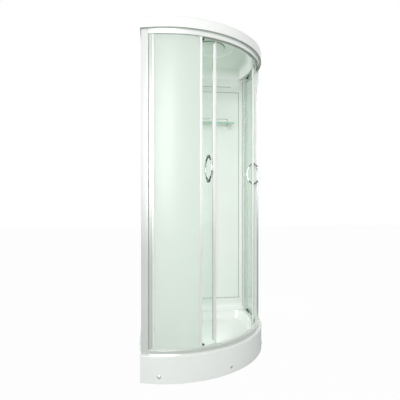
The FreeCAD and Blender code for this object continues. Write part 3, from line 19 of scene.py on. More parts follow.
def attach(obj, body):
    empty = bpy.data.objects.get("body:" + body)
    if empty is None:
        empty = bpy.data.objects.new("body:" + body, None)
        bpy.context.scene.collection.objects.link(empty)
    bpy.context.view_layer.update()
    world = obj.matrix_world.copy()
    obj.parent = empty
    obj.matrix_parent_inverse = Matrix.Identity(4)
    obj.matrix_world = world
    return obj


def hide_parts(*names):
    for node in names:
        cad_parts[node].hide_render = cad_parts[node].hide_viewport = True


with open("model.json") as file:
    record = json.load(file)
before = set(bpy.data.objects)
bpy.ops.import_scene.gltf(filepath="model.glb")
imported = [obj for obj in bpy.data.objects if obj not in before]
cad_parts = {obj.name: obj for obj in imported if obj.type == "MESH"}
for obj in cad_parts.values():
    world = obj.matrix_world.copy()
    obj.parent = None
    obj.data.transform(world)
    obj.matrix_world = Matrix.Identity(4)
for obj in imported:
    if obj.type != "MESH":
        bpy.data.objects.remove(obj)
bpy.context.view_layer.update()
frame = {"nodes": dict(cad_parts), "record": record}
print("parts in the frame:", len(frame["nodes"]))

# %% [markdown]
# ## Where things are
#
# Nearly everything on the front is measured round one upright axis, the centre of the curved rails.
# Places are therefore written as a maker would mark them: an angle off the middle of the doorway, to
# the left or to the right, a radius from the axis and a height above the floor, in millimetres.

# %% Places on the curved front
FRONT_AXIS = Vector((-0.22, 0.22, 0.0))
DOORWAY_BEARING = -45
HAND = {"left": -1, "right": 1}
UP = Vector((0, 0, 1))


def bearing(side, angle):
    return math.radians(DOORWAY_BEARING + HAND[side] * angle)


def on_front(side, angle, radius, height):
    turn = bearing(side, angle)
    return FRONT_AXIS + Vector((radius * math.cos(turn), radius * math.sin(turn), height)) / 1000


print("middle of the doorway:", [round(v, 3) for v in on_front("left", 0, 652, 0)])

# %% [markdown]
# ## Writing a finish
#
# A finish is a small web of shader nodes. Written out node by node it is hard to read, so one class
# wraps a socket: Python's arithmetic on it adds Math nodes, and the formula reads as a formula.
# Every other node comes from one method, which takes its settings and what its sockets hold.

# %% Shader arithmetic


class Value:
    """A number that changes over a surface; arithmetic on it adds Math nodes."""

    def __init__(self, finish, socket):
        self.finish = finish
        self.socket = socket

    def maths(self, operation, first, second):
        return self.finish.node("Math", {"operation": operation}, {0: first, 1: second})

    def __add__(self, other):
        return self.maths("ADD", self, other)

    def __mul__(self, other):
        return self.maths("MULTIPLY", self, other)

    def __pow__(self, other):
        return self.maths("POWER", self, other)

    def __rsub__(self, other):
        return self.maths("SUBTRACT", other, self)

    __radd__ = __add__
    __rmul__ = __mul__


class Finish:
    """A material that is built from expressions."""

    def __init__(self, name):
        self.material = bpy.data.materials.new(name)
        self.material.use_nodes = True
        self.tree = self.material.node_tree
        self.tree.nodes.clear()

    def node(self, kind, settings=None, sockets=None, out=0):
        made = self.tree.nodes.new("ShaderNode" + kind)
        for name, setting in (settings or {}).items():
            if name == "stops":
                self.set_stops(made.color_ramp, setting)
            else:
                setattr(made, name, setting)
        for name, value in (sockets or {}).items():
            if isinstance(value, Value):
                self.tree.links.new(value.socket, made.inputs[name])
            else:
                made.inputs[name].default_value = value
        return Value(self, made.outputs[out])

    def set_stops(self, ramp, stops):
        while len(ramp.elements) < len(stops):
            ramp.elements.new(0.5)
        for element, (place, grey) in zip(ramp.elements, stops):
            element.position = place
            element.color = (grey, grey, grey, 1)

    def place(self):
        return self.node("TexCoord", out="Object")

    def stretched(self, scale):
        return self.node("Mapping", {}, {"Vector": self.place(), "Scale": scale})

    def noise(self, scale, detail=2.0, where=None):
        sockets = {"Vector": where or self.place(), "Scale": scale, "Detail": detail}
        return self.node("TexNoise", {}, sockets, "Fac")

    def ramp(self, value, stops):
        return self.node("ValToRGB", {"stops": stops}, {"Fac": value}, "Color")

    def blend(self, share, first, second):
        return self.node("Mix", {"data_type": "RGBA"}, {0: share, 6: first, 7: second}, 2)

    def bump(self, height, depth, strength=1.0):
        sockets = {"Height": height, "Distance": depth, "Strength": strength}
        return self.node("Bump", {}, sockets, "Normal")

    def shader(self, **sockets):
        named = {name.replace("_", " "): value for name, value in sockets.items()}
        return self.node("BsdfPrincipled", {}, named)

    def mixed(self, share, first, second):
        return self.node("MixShader", {}, {0: share, 1: first, 2: second})

    def done(self, shader):
        output = self.tree.nodes.new("ShaderNodeOutputMaterial")
        self.tree.links.new(shader.socket, output.inputs["Surface"])
        return self.material


def tone(code, alpha=1.0):
    """A colour from its six-figure code, as the linear numbers that a shader takes."""
    shares = [((code >> shift) & 255) / 255 for shift in (16, 8, 0)]
    linear = [s / 12.92 if s < 0.04045 else ((s + 0.055) / 1.055) ** 2.4 for s in shares]
    return (*linear, alpha)


print("a mid grey in linear light:", round(tone(0x808080)[0], 3))

# %% [markdown]
# ## White acrylic
#
# The tray, its apron and the roof are vacuum-formed from glossy white sheet. Such sheet is never
# quite flat: it has a faint orange peel, and its gloss varies a little where it was stretched. Slow
# noise moves the colour and the roughness a few percent, and fine noise gives the peel as bump.

# %% White acrylic


def acrylic(name, light, dark, roughness, peel, coat_roughness=0.06):
    finish = Finish(name)
    drift = finish.noise(3.5, 3.0)
    height = finish.noise(160.0, 1.0)
    return finish.done(finish.shader(
        Base_Color=finish.blend(drift, tone(dark), tone(light)),
        Roughness=roughness + drift * 0.08,
        Normal=finish.bump(height, peel, 0.5),
        Coat_Weight=0.35,
        Coat_Roughness=coat_roughness,
    ))


ROOF_EDGE_LEVEL = 2.092


def roof_acrylic():
    """The same sheet, with painted shade: faces that look down are tinted green-grey, and darker grey below
    the fascia's lower edge.
    """
    finish = Finish("roof_acrylic")
    drift = finish.noise(3.5, 3.0)
    normal = finish.node("NewGeometry", out="Normal")
    looks_down = finish.node("SeparateXYZ", {}, {"Vector": normal}, "Z") * -1
    height = finish.node("SeparateXYZ", {}, {"Vector": finish.place()}, "Z")
    # Painted shade: faces that look down turn green-grey, and below the fascia's lower edge they turn
    # darker grey.
    ceiling = finish.ramp(looks_down, [(0.8, 0.0), (0.99, 1.0)])
    painted_shade_under_edge = ceiling * finish.ramp((ROOF_EDGE_LEVEL - height) * 200, [(0.0, 0.0), (0.6, 1.0)])
    white = finish.blend(drift, tone(0xF3F6F3), tone(0xF9FAF9))
    inside = finish.blend(ceiling, white, tone(0xD2DED4))
    return finish.done(finish.shader(
        Base_Color=finish.blend(painted_shade_under_edge, inside, tone(0xB0BBB2)),
        Roughness=0.2 + drift * 0.08,
        Normal=finish.bump(finish.noise(160.0, 1.0), 0.00012, 0.5),
        Coat_Weight=0.35,
        Coat_Roughness=0.06,
    ))


finishes = {
    "roof_acrylic": roof_acrylic(),
    "white_acrylic": acrylic("white_acrylic", 0xF6F8F6, 0xF0F3F0, 0.20, 0.00012),
    "wall_acrylic": acrylic("wall_acrylic", 0xEBEFEB, 0xE6EAE6, 0.34, 0.00015, 0.3),
    "white_plastic": acrylic("white_plastic", 0xF3F5F3, 0xECEFEC, 0.32, 0.00008),
}
print("acrylics:", list(finishes))

# %% [markdown]
# ## Aluminium
#
# Rails, posts and stiles are extruded. An extrusion carries very fine lines along its length, which
# widen a reflection across them. The lines are noise stretched a hundredfold along the run: upright
# on posts and stiles, level on the rails. Coated extrusions differ in colour and in that direction.
# A mill finish, on the shelf's brackets and the lower rail's face, is also rougher, more metallic and a
# little greyer. On the lower rail's face it mirrors the grey floor, and its greyer colour there is painted
# shade.

# %% Aluminium


def extrusion(name, light, dark, along, metallic=0.5, roughness=0.22):
    finish = Finish(name)
    lines = finish.noise(1.0, 2.0, finish.stretched(along))
    drift = finish.noise(2.0, 2.0)
    return finish.done(finish.shader(
        Base_Color=finish.blend(lines, tone(dark), tone(light)),
        Metallic=metallic,
        Roughness=roughness + lines * 0.02 + drift * 0.04,
        Normal=finish.bump(lines, 0.00002, 0.15),
    ))


UPRIGHT_LINES = (900, 900, 6)
LEVEL_LINES = (8, 8, 900)
finishes["white_coated_aluminium"] = extrusion("rail_aluminium", 0xF4F6F4, 0xECEFEC, LEVEL_LINES)
finishes["post_aluminium"] = extrusion("post_aluminium", 0xE6E9E6, 0xE0E3E0, UPRIGHT_LINES)
finishes["satin_aluminium"] = extrusion("stile_aluminium", 0xFCFDFC, 0xF6F8F6, UPRIGHT_LINES)
# A greyer copy for the trims' closed flank: painted shade.
finishes["trim_flank_painted_shade"] = extrusion("trim_flank_painted_shade", 0xB6BBB7, 0xAEB3AF, UPRIGHT_LINES)
# Greyer and more metallic; on the lower rail's face its greyer colour is painted shade.
finishes["mill_aluminium_and_shade"] = extrusion("mill_aluminium_and_shade", 0xE6EAE6, 0xDCE0DC, LEVEL_LINES, 0.8, 0.28)
print("finishes so far:", len(finishes))

# %% [markdown]
# ## Glass
#
# The clear doors tint what is behind them a little, and mirror more as the eye meets them at a
# slant. A mix of a tinted see-through shader and a mirror-like one gives both with no refraction
# noise. Its share follows Schlick's rule, a fifth power of the slant: a Fresnel node would turn the
# back face of the pane into a full mirror, since no ray is bent on its way in. Seen nearly along the
# pane, the mirror-like part turns green, as the long way through the glass would make it. An edge is
# looked at along the pane, through hundreds of millimetres of green glass, so the edge has a bright
# green finish of its own. The fixed panes are etched: mostly a soft pale green, with a hint of what
# stands close behind them. Etching scatters light but hardly stops it. As a shortcut for that, the
# pane lets most of the rays that only carry light pass, so the cabin stays bright inside.

# %% Glass


MIRRORED_HEAD_ON = 0.04


def clear_glass():
    finish = Finish("clear_glass")
    streaks = finish.noise(1.0, 2.0, finish.stretched((6, 6, 1)))
    through = finish.node("BsdfTransparent", {}, {"Color": tone(0xF7FAF8)})
    slant = finish.node("LayerWeight", {}, {"Blend": 0.5}, "Facing")
    depth_green = finish.blend(slant ** 4, tone(0xF0F5F2), tone(0x7E9C86))
    mirror = finish.shader(Base_Color=depth_green, Metallic=1.0, Roughness=0.03)
    mirrored = MIRRORED_HEAD_ON + slant ** 5 * 0.9
    return finish.done(finish.mixed(mirrored * 0.9 + streaks * 0.02, through, mirror))


def glass_edge():
    finish = Finish("glass_edge")
    depth = finish.noise(30.0, 3.0)
    return finish.done(finish.shader(
        Base_Color=finish.blend(depth, tone(0x55B07C), tone(0x7CCB9B)),
        Roughness=0.15,
        Coat_Weight=0.5,
    ))


LIGHT_THROUGH_ETCHING = 0.85


def frosted_glass():
    finish = Finish("frosted_glass")
    cloud = finish.noise(1.0, 2.0, finish.stretched((5, 5, 1.6)))
    grain = finish.noise(1400.0, 1.0)
    through = finish.node("BsdfTransparent", {}, {"Color": tone(0xF1F7F2)})
    etched = finish.shader(
        Base_Color=finish.blend(cloud, tone(0xF2F7F3), tone(0xF9FCF9)),
        Roughness=0.4 + cloud * 0.05,
        Normal=finish.bump(grain, 0.00003, 0.3),
        Coat_Weight=0.6,
        Coat_Roughness=0.3,
    )
    glowing = finish.node("BsdfTranslucent", {}, {"Color": tone(0xF9FBF9)})
    lit_from_both_sides = finish.mixed(0.45 + cloud * 0.1, etched, glowing)
    lamp_ray = finish.node("LightPath", {}, {}, "Is Shadow Ray")
    bounced_ray = finish.node("LightPath", {}, {}, "Is Diffuse Ray")
    seen = 1 - (lamp_ray + bounced_ray) * LIGHT_THROUGH_ETCHING
    return finish.done(finish.mixed((0.86 + cloud * 0.04) * seen, through, lit_from_both_sides))


finishes["clear_glass"] = clear_glass()
finishes["glass_edge"] = glass_edge()
finishes["frosted_glass"] = frosted_glass()
print("glass finishes: clear_glass, glass_edge, frosted_glass")

# %% [markdown]
# ## Chrome, rubber and the rest
#
# The handles, the shelf's guard rail and the waste cover are chrome plated, with a few faint wipe
# marks. The rollers are dark plastic. The seals are a soft, milky plastic, drawn as an opaque one
# because they are only millimetres wide. The steel under the tray is zinc plated, which shows as
# pale crystals.

# %% Small finishes


def plated(name, dark, light):
    finish = Finish(name)
    wipes = finish.noise(60.0, 3.0)
    return finish.done(finish.shader(
        Base_Color=finish.blend(wipes, tone(dark), tone(light)),
        Metallic=1.0,
        Roughness=0.05 + wipes * 0.06,
    ))


def soft(name, light, dark, roughness, grain):
    finish = Finish(name)
    mottle = finish.noise(70.0, 3.0)
    fine = finish.noise(grain, 2.0)
    return finish.done(finish.shader(
        Base_Color=finish.blend(mottle, tone(dark), tone(light)),
        Roughness=roughness + mottle * 0.1,
        Normal=finish.bump(fine, 0.0001, 0.5),
    ))


def zinc():
    finish = Finish("zinc_steel")
    crystals = finish.node("TexVoronoi", {}, {"Vector": finish.place(), "Scale": 90.0}, "Distance")
    return finish.done(finish.shader(
        Base_Color=finish.blend(crystals, tone(0x9EA4A6), tone(0xC4C9CA)),
        Metallic=0.8,
        Roughness=0.35 + crystals * 0.2,
    ))


finishes["chrome"] = plated("chrome", 0xD2D6D6, 0xE8EBEB)
# A darker copy of the chrome, for the handles' feet and rosettes: a painted reflection.
finishes["chrome_painted_reflection"] = plated("chrome_painted_reflection", 0x4E5653, 0x6E7673)
finishes["clear_seal"] = soft("clear_seal", 0xEDF2EE, 0xDDE4DF, 0.3, 400.0)
finishes["dark_plastic"] = soft("dark_plastic", 0x4A4F4D, 0x353A38, 0.25, 500.0)
finishes["roller_plastic"] = soft("roller_plastic", 0x2C302E, 0x1D211F, 0.4, 500.0)
finishes["black_rubber"] = soft("black_rubber", 0x232524, 0x171918, 0.55, 300.0)
# Dark grey-green, also used as painted shade: dark lines at the upper rail's mouth, in the channel grooves,
# round the ceiling cover and on the wall panels.
finishes["weather_strip_and_shade"] = soft("weather_strip_and_shade", 0x98A39A, 0x879289, 0.5, 300.0)
finishes["zinc_steel"] = zinc()
print("finishes:", sorted(finishes))

# %% [markdown]
# ## Dressing the frame
#
# Every part of the frame first gets the finish that its record names. Parts that deserve rounder
# edges or richer detail are replaced further down.

# %% Give every part a finish


def dress(node, finish_name):
    for held in frame["nodes"][node].material_slots:
        held.material = finishes[finish_name]


for entry in frame["record"]["subparts"]:
    dress(entry["node"], entry["material_slot"])
dress("roof", "roof_acrylic")
dress("shelf_brackets", "mill_aluminium_and_shade")

# %% [markdown]
# ## From a form to a piece
#
# Some parts deserve more than the frame's plain mesh: rounded edges that catch a highlight, a taper,
# a groove. Each of them is built as a form first. One function then makes the form an object: it
# shades round stretches smooth and keeps real edges sharp, adds a Bevel modifier where edges are
# eased, and ties the object to the frame's part, so that it moves as that part does. Unless told
# otherwise it also hides that part.

# %% Making a piece
FRAME_BODY = {
    node: body for body, nodes in frame["record"]["behaviour"]["bodies"].items() for node in nodes
}
SHARP_CORNER = math.radians(30)


def smoothed(form, name):
    mesh = bpy.data.meshes.new(name)
    form.to_mesh(mesh)
    form.free()
    mesh.shade_smooth()
    mesh.set_sharp_from_angle(angle=SHARP_CORNER)
    return mesh


def piece(form, stands_for, finish_names, eased=0.0, name=None, replaces=True):
    """An object for a finished form, on the body of the frame's part that it stands for."""
    name = name or stands_for + "_dressed"
    made = bpy.data.objects.new(name, smoothed(form, name))
    bpy.context.scene.collection.objects.link(made)
    for finish_name in finish_names:
        made.data.materials.append(finishes[finish_name])
    if eased:
        rounding = made.modifiers.new("eased_edges", "BEVEL")
        rounding.width = eased / 1000
        rounding.segments = 2
        rounding.limit_method = "ANGLE"
        rounding.angle_limit = SHARP_CORNER
        rounding.harden_normals = True
    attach(made, FRAME_BODY[stands_for])
    if replaces:
        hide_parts(stands_for)
    return made


print("bodies to ride on:", len(set(FRAME_BODY.values())))

# %% [markdown]
# ## Sections swept round the front
#
# A rail, a seal and a pane are all one thing: a flat section, carried round the front's axis. In
# Blender that is Spin. The section is one face at its far angle, and Spin carries it to its near one,
# in steps small enough that the arc looks round. Its normals are made to point outwards afterwards.
# Posts, stiles, brackets and the shelf are prisms instead, so a second helper extrudes a flat face.

# %% Sweeping a section


def box_section(inner, outer, low, high):
    return [(inner, low), (outer, low), (outer, high), (inner, high)]


def swept(side, near, far, section, step=0.75):
    """A section of (radius, height) corners, swept from its far angle to its near one."""
    form = bmesh.new()
    face = form.faces.new([form.verts.new(on_front(side, far, r, z)) for r, z in section])
    turn = math.radians(near - far) * HAND[side]
    steps = max(1, math.ceil((far - near) / step))
    bmesh.ops.spin(
        form, geom=[face, *face.edges, *face.verts], cent=FRONT_AXIS, axis=UP, angle=turn, steps=steps
    )
    bmesh.ops.recalc_face_normals(form, faces=form.faces)
    return form


def extruded(points, rise):
    """A prism: one face through the points, extruded by the vector rise."""
    form = bmesh.new()
    face = form.faces.new([form.verts.new(point) for point in points])
    raised = bmesh.ops.extrude_face_region(form, geom=[face])
    corners = [item for item in raised["geom"] if isinstance(item, bmesh.types.BMVert)]
    bmesh.ops.translate(form, vec=rise, verts=corners)
    bmesh.ops.recalc_face_normals(form, faces=form.faces)
    return form


def open_edges(form):
    return sum(1 for edge in form.edges if len(edge.link_faces) != 2)


trial = swept("left", 0, 10, box_section(600, 605, 0, 10))
print("open edges in a swept section:", open_edges(trial), "faces:", len(trial.faces))
trial.free()

# %% [markdown]
# ## The panes
#
# Toughened glass has a flat-ground edge with a small arris on each side. The edge shows green, so the
# upper and lower edges take a finish of their own, found by the way their faces look. The upright
# edges sit inside trims, stiles and seals.

# %% Panes
GLASS = 5
DOOR_PANE = {"near": 22.9, "far": 57.7, "inner": 608, "low": 181, "high": 2070}
FIXED_PANE = {"near": 32.46, "far": 60.6, "inner": 640, "low": 186.4, "high": 2064.6}
EDGE_FINISH = 1


def pane(side, near, far, inner, low, high):
    form = swept(side, near, far, box_section(inner, inner + GLASS, low, high), step=0.6)
    for face in form.faces:
        if abs(face.normal.z) > 0.7:
            face.material_index = EDGE_FINISH
    return form


for side in HAND:
    fixed = piece(pane(side, **FIXED_PANE), f"{side}_fixed_glass", ["frosted_glass", "glass_edge"], 0.5)
    print(fixed.name, [round(v, 3) for v in fixed.dimensions])

# %% [markdown]
# The door panes are drilled: four holes for the roller bolts and two for the handles. A Boolean
# modifier cuts them from drill rods laid along the radius, and its result is kept as the mesh.

# %% Door panes
BOLT_HOLE = 5
ROLLER_ANGLES = {"front": 30.6, "rear": 52.4}
FIXING_LEVELS = {"upper": 2060, "lower": 191}
HANDLE_ANGLE = 27.1
HANDLE_LEVEL = 1269
HANDLE_HALF = 75


def outwards(side, angle):
    turn = bearing(side, angle)
    return Vector((math.cos(turn), math.sin(turn), 0))


def along_radius(side, angle, level):
    """Stands a form made round Z at the origin on the front, with its Z pointing outwards."""
    out = outwards(side, angle)
    turn = Matrix((UP.cross(out), UP, out)).transposed().to_4x4()
    return Matrix.Translation(FRONT_AXIS + UP * level / 1000) @ turn


def drill_rods(side):
    rods = bmesh.new()
    places = [(angle, level) for angle in ROLLER_ANGLES.values() for level in FIXING_LEVELS.values()]
    places += [(HANDLE_ANGLE, HANDLE_LEVEL - HANDLE_HALF), (HANDLE_ANGLE, HANDLE_LEVEL + HANDLE_HALF)]
    for angle, level in places:
        middle = Matrix.Translation((0, 0, (DOOR_PANE["inner"] + GLASS / 2) / 1000))
        bmesh.ops.create_cone(
            rods, cap_ends=True, segments=32, radius1=BOLT_HOLE / 1000, radius2=BOLT_HOLE / 1000,
            depth=GLASS * 3 / 1000, matrix=along_radius(side, angle, level) @ middle,
        )
    return rods


def cut_out(form, tools):
    """The form with the tools' volume taken away, through a Boolean modifier."""
    block = bpy.data.objects.new("block", bpy.data.meshes.new("block"))
    cutter = bpy.data.objects.new("cutter", bpy.data.meshes.new("cutter"))
    for held, shape in ((block, form), (cutter, tools)):
        shape.to_mesh(held.data)
        shape.free()
        bpy.context.scene.collection.objects.link(held)
    cutting = block.modifiers.new("cut", "BOOLEAN")
    cutting.operation = "DIFFERENCE"
    cutting.solver = "EXACT"
    cutting.object = cutter
    bpy.context.view_layer.update()
    cut = block.evaluated_get(bpy.context.evaluated_depsgraph_get()).to_mesh()
    result = bmesh.new()
    result.from_mesh(cut)
    for held in (block, cutter):
        bpy.data.objects.remove(held)
    return result


for side in HAND:
    drilled = cut_out(pane(side, **DOOR_PANE), drill_rods(side))
    print("open edges of the drilled pane:", open_edges(drilled))
    piece(drilled, f"{side}_door_glass", ["clear_glass", "glass_edge"], 0.5)

# %% [markdown]
# ## Rails
#
# Both rails are one aluminium extrusion, hung upside down at the top. Its section has a splash lip, a
# thin upstand that the wheels run on, a box, and a groove for the fixed pane. The box is hollow, but
# its ends are capped, so it is drawn solid here. One outline serves both rails: heights are counted
# from the open side, and the lower rail turns them over.
# The outer face gets two fine beads, as a die would draw them. In the photograph a dark line follows the
# mouth of the upper rail, and the lower rail's face is greyer than the upper one's. The downward faces at
# the upper rail's mouth take a dark grey finish, as painted shade. The lower rail's face takes a greyer,
# more metallic finish: it mirrors the grey floor, and its greyer colour is painted shade. Whether that is
# the material or a reflection can't be told, so both are simply given a finish of that tone.

# %% Rails
RAIL_LOW = 2056
RAIL_DEPTH = 32
MIRROR = 2251  # a height at the top rail and its twin at the bottom rail add up to this
RAIL_END = 60.7
RAIL_OUTER = 652
RAIL_BOX = 628
BEAD = 0.5
MARKED_FINISH = 1


def rail_section():
    """(radius, height over the open side), from the foot of the outer face and round."""
    outer, inner, box, wall = RAIL_OUTER, 612, RAIL_BOX, 1.8
    beads = [(outer - BEAD, 4), (outer - BEAD, 5.2), (outer, 5.2 + BEAD), (outer, RAIL_DEPTH - 7),
             (outer - BEAD, RAIL_DEPTH - 6.4), (outer - BEAD, RAIL_DEPTH - 5.2), (outer, RAIL_DEPTH - 4.6)]
    lip = [(inner, RAIL_DEPTH), (inner, RAIL_DEPTH - wall - 4), (inner + wall, RAIL_DEPTH - wall - 4),
           (inner + wall, RAIL_DEPTH - wall), (box, RAIL_DEPTH - wall)]
    track = [(box, 3.6), (621.3, 3.6), (621.3, 8.2), (619.7, 8.2), (619.7, 2), (box, 2), (box, 0)]
    groove = [(639.75, 0), (639.75, 9), (645.25, 9), (645.25, 0)]
    return [(outer, 0), (outer, 4 - BEAD), *beads, (outer, RAIL_DEPTH), *lip, *track, *groove]


def rail(level, marked):
    """The rail's form, with its second finish on the faces that the test picks out."""
    section = [(radius, level(height)) for radius, height in rail_section()]
    form = swept("left", -RAIL_END, RAIL_END, section, step=1.2)
    for face in form.faces:
        middle = face.calc_center_median()
        if marked((middle - FRONT_AXIS).xy.length * 1000, middle.z * 1000, face.normal):
            face.material_index = MARKED_FINISH
    return form


# Downward faces at the upper rail's mouth; they take the dark finish as painted shade.
def in_shade_at_the_mouth(radius, height, normal):
    return normal.z < -0.7 and radius > RAIL_BOX and height < RAIL_LOW + 2


def on_the_face(radius, height, normal):
    return radius > RAIL_OUTER - 1 and abs(normal.z) < 0.5


upper = rail(lambda height: RAIL_LOW + height, in_shade_at_the_mouth)
lower = rail(lambda height: MIRROR - RAIL_LOW - height, on_the_face)
made = piece(upper, "top_rail", ["white_coated_aluminium", "weather_strip_and_shade"], 0.35)
print(made.name, "faces:", len(made.data.polygons), [round(v, 3) for v in made.dimensions])
made = piece(lower, "bottom_rail", ["white_coated_aluminium", "mill_aluminium_and_shade"], 0.35)
print(made.name, "faces:", len(made.data.polygons), [round(v, 3) for v in made.dimensions])

# %% [markdown]
# ## Stiles, trims and seals
#
# Stiles and trims are extruded upwards from their plan, and the two soft strips are swept. Stiles and
# trims are drawn with a slot for the pane, so that the glass visibly enters them, and their outer
# corners are eased: on a bright extrusion it is the narrow highlight on that corner that the eye
# reads as metal. Magnetic seals of this kind are usually hollow. Only the milky outside shows, in
# front of the stile, so it is drawn solid.

# %% Uprights
FIXED_SLOT = (639.75, 645.25)
DOOR_SLOT = (607.75, 613.25)
TRIM = {
    "near": 32.25, "far": 33.5, "inner": 636, "outer": 649, "slot": FIXED_SLOT, "low": 195.2,
    "pane_start": 32.45,
}
STILE = {
    "near": 22.75, "far": 24.3, "inner": 603.8, "outer": 617.2, "slot": DOOR_SLOT, "low": 208,
    "pane_start": 22.89,
}
MAGNETIC_SEAL = {"near": 22.0, "far": 22.75, "inner": 605, "outer": 616}
WIPER_FIN = {"near": 32.4, "far": 32.5071, "inner": 613.5, "outer": 636, "low": 208, "high": 2043}
FLANK_SHADE_FINISH = 1


def clamp_upright(side, near, far, inner, outer, slot, low, pane_start):
    """A U-shaped extrusion, closed at the near side and open towards the pane on the far side."""
    high = MIRROR - low
    plan = [
        (far, inner), (near, inner), (near, outer), (far, outer),
        (far, slot[1]), (pane_start, slot[1]), (pane_start, slot[0]), (far, slot[0]),
    ]
    foot = [on_front(side, angle, radius, low) for angle, radius in plan]
    return extruded(foot, UP * (high - low) / 1000)


def strip(side, near, far, inner, outer, low, high, step):
    return swept(side, near, far, box_section(inner, outer, low, high), step=step)


def paint_flank_shade(form, side, near):
    """The closed flank, towards the doorway, takes a greyer finish: painted shade."""
    along = UP.cross(outwards(side, near)) * HAND[side]
    for face in form.faces:
        if face.normal.dot(along) < -0.9 and abs(face.normal.z) < 0.1:
            face.material_index = FLANK_SHADE_FINISH
    return form


for side in HAND:
    trim = paint_flank_shade(clamp_upright(side, **TRIM), side, TRIM["near"])
    piece(trim, f"{side}_fixed_edge_trim", ["satin_aluminium", "trim_flank_painted_shade"], 1.2)
    made = piece(clamp_upright(side, **STILE), f"{side}_door_stile", ["satin_aluminium"], 1.0)
    seal = strip(side, **MAGNETIC_SEAL, low=DOOR_PANE["low"], high=DOOR_PANE["high"], step=0.25)
    piece(seal, f"{side}_magnetic_seal", ["clear_seal"], 2.2)
    piece(strip(side, **WIPER_FIN, step=0.1), f"{side}_wiper_fin", ["clear_seal"], 0.25)
    print(made.name, [round(v, 3) for v in made.dimensions])

# %% [markdown]
# The channel that holds a fixed pane at its post is the same kind of clamp, closed at the far side.
# Two narrow dark lines run up its face in the photograph, one against the post and one nearer the glass,
# where the joints lie in shade. They are drawn as grooves that each hold a dark strip of painted shade. The
# door's rear edge wears a soft seal of the same U shape.

# %% Channels and trailing seals
CHANNEL = {
    "near": 60.9, "far": 58.2, "inner": 636.2, "outer": 648.8, "slot": FIXED_SLOT, "low": 195,
    "pane_start": 60.61,
}
TRAILING = {
    "near": 58.075, "far": 57.325, "inner": 606.4, "outer": 614.6, "slot": (607.9, 613.1), "low": 208,
    "pane_start": 57.71,
}
CHANNEL_GROOVES = ((60.3, 60.85), (59.25, 59.6))
GROOVE_FLOOR = CHANNEL["outer"] - 2.5
STRIP_FACE = CHANNEL["outer"] - 0.4
CUTTER_FACE = CHANNEL["outer"] + 3
STRIP_ENDS = {"low": 196, "high": 2055}
CUTTER_ENDS = {"low": 190, "high": 2060}


def joined(forms):
    """Several loose forms as one."""
    whole = bmesh.new()
    for form in forms:
        mesh = bpy.data.meshes.new("part")
        form.to_mesh(mesh)
        form.free()
        whole.from_mesh(mesh)
        bpy.data.meshes.remove(mesh)
    return whole


def channel(side):
    """The clamp, with its two grooves cut where the strips lie."""
    cutters = [
        strip(side, near, far, GROOVE_FLOOR, CUTTER_FACE, **CUTTER_ENDS, step=0.3)
        for near, far in CHANNEL_GROOVES
    ]
    return cut_out(clamp_upright(side, **CHANNEL), joined(cutters))


for side in HAND:
    made = piece(channel(side), f"{side}_glass_channel", ["post_aluminium"], 0.4)
    for order, (near, far) in enumerate(CHANNEL_GROOVES):
        # Each groove holds a dark strip of painted shade.
        filler = strip(side, near, far, GROOVE_FLOOR, STRIP_FACE, **STRIP_ENDS, step=0.3)
        piece(filler, f"{side}_glass_channel", ["weather_strip_and_shade"], name=f"{side}_channel_shade_strip_{order}")
    piece(clamp_upright(side, **TRAILING), f"{side}_trailing_seal", ["clear_seal"], 0.8)
    print(made.name, "faces:", len(made.data.polygons))

# %% [markdown]
# ## Rollers
#
# Each door has four rollers: it hangs on the upper two, and the lower two keep its foot in line. A
# grooved wheel turns on a stub axle, the axle stands on a flat bracket, and one bolt through the
# glass clamps the bracket, under a round cap on the inside. Wheels, axles and caps are turned parts,
# so each is a half section spun once round. The bracket is stamped, so it is an outline extruded.

# %% Rollers
FULL_TURN = math.radians(360)


def turned(profile, where, segments=40):
    """A half section of (radius, height) points in millimetres, spun once round and put in place."""
    form = bmesh.new()
    points = [form.verts.new((radius / 1000, 0, height / 1000)) for radius, height in profile]
    edges = [form.edges.new(pair) for pair in zip(points, points[1:])]
    bmesh.ops.spin(
        form, geom=points + edges, cent=(0, 0, 0), axis=(0, 0, 1), angle=FULL_TURN, steps=segments,
        use_merge=True,
    )
    bmesh.ops.remove_doubles(form, verts=form.verts, dist=1e-6)
    bmesh.ops.recalc_face_normals(form, faces=form.faces)
    bmesh.ops.transform(form, matrix=where, verts=form.verts)
    return form


WHEEL_PROFILE = [
    (3.06, 617), (4.56, 617), (4.9, 618.1), (7.2, 618.1), (7.5, 617), (10.7, 617), (11, 617.4),
    (11, 618.6), (9.5, 619.0), (9.5, 622.0), (11, 622.4), (11, 623.6), (10.7, 624), (7.5, 624),
    (7.2, 622.8), (4.9, 622.8), (4.56, 624), (3.06, 624), (3.06, 617),
]
CAP_PROFILE = [
    (0, 601.9), (3.5, 602.1), (6.4, 602.8), (8.6, 603.8), (9.7, 604.9), (10, 605.6), (10, 607.5),
    (9.6, 607.9), (4.8, 607.9), (4.8, 613.2), (0, 613.2),
]
AXLE_PROFILE = [(0, 614), (3, 614), (3, 624.4), (4.5, 624.4), (4.5, 625.1), (4.1, 625.6), (0, 625.6)]
AXLE_FROM_BOLT = 14
BRACKET = {"round": 9, "half_top": 6.5, "reach": 21, "low": 613.2, "high": 616.5}


def bracket_plate(where, towards_rail):
    """A stamped plate: half round at the bolt, narrowing to a straight end at the rail."""
    half_round = [math.radians(180 + 15 * i) for i in range(13)]
    outline = [(BRACKET["round"] * math.cos(t), BRACKET["round"] * math.sin(t)) for t in half_round]
    outline += [(BRACKET["half_top"], BRACKET["reach"]), (-BRACKET["half_top"], BRACKET["reach"])]
    low = BRACKET["low"] / 1000
    corners = [(x / 1000, y * towards_rail / 1000, low) for x, y in outline]
    form = extruded(corners, UP * (BRACKET["high"] - BRACKET["low"]) / 1000)
    bmesh.ops.transform(form, matrix=where, verts=form.verts)
    return form


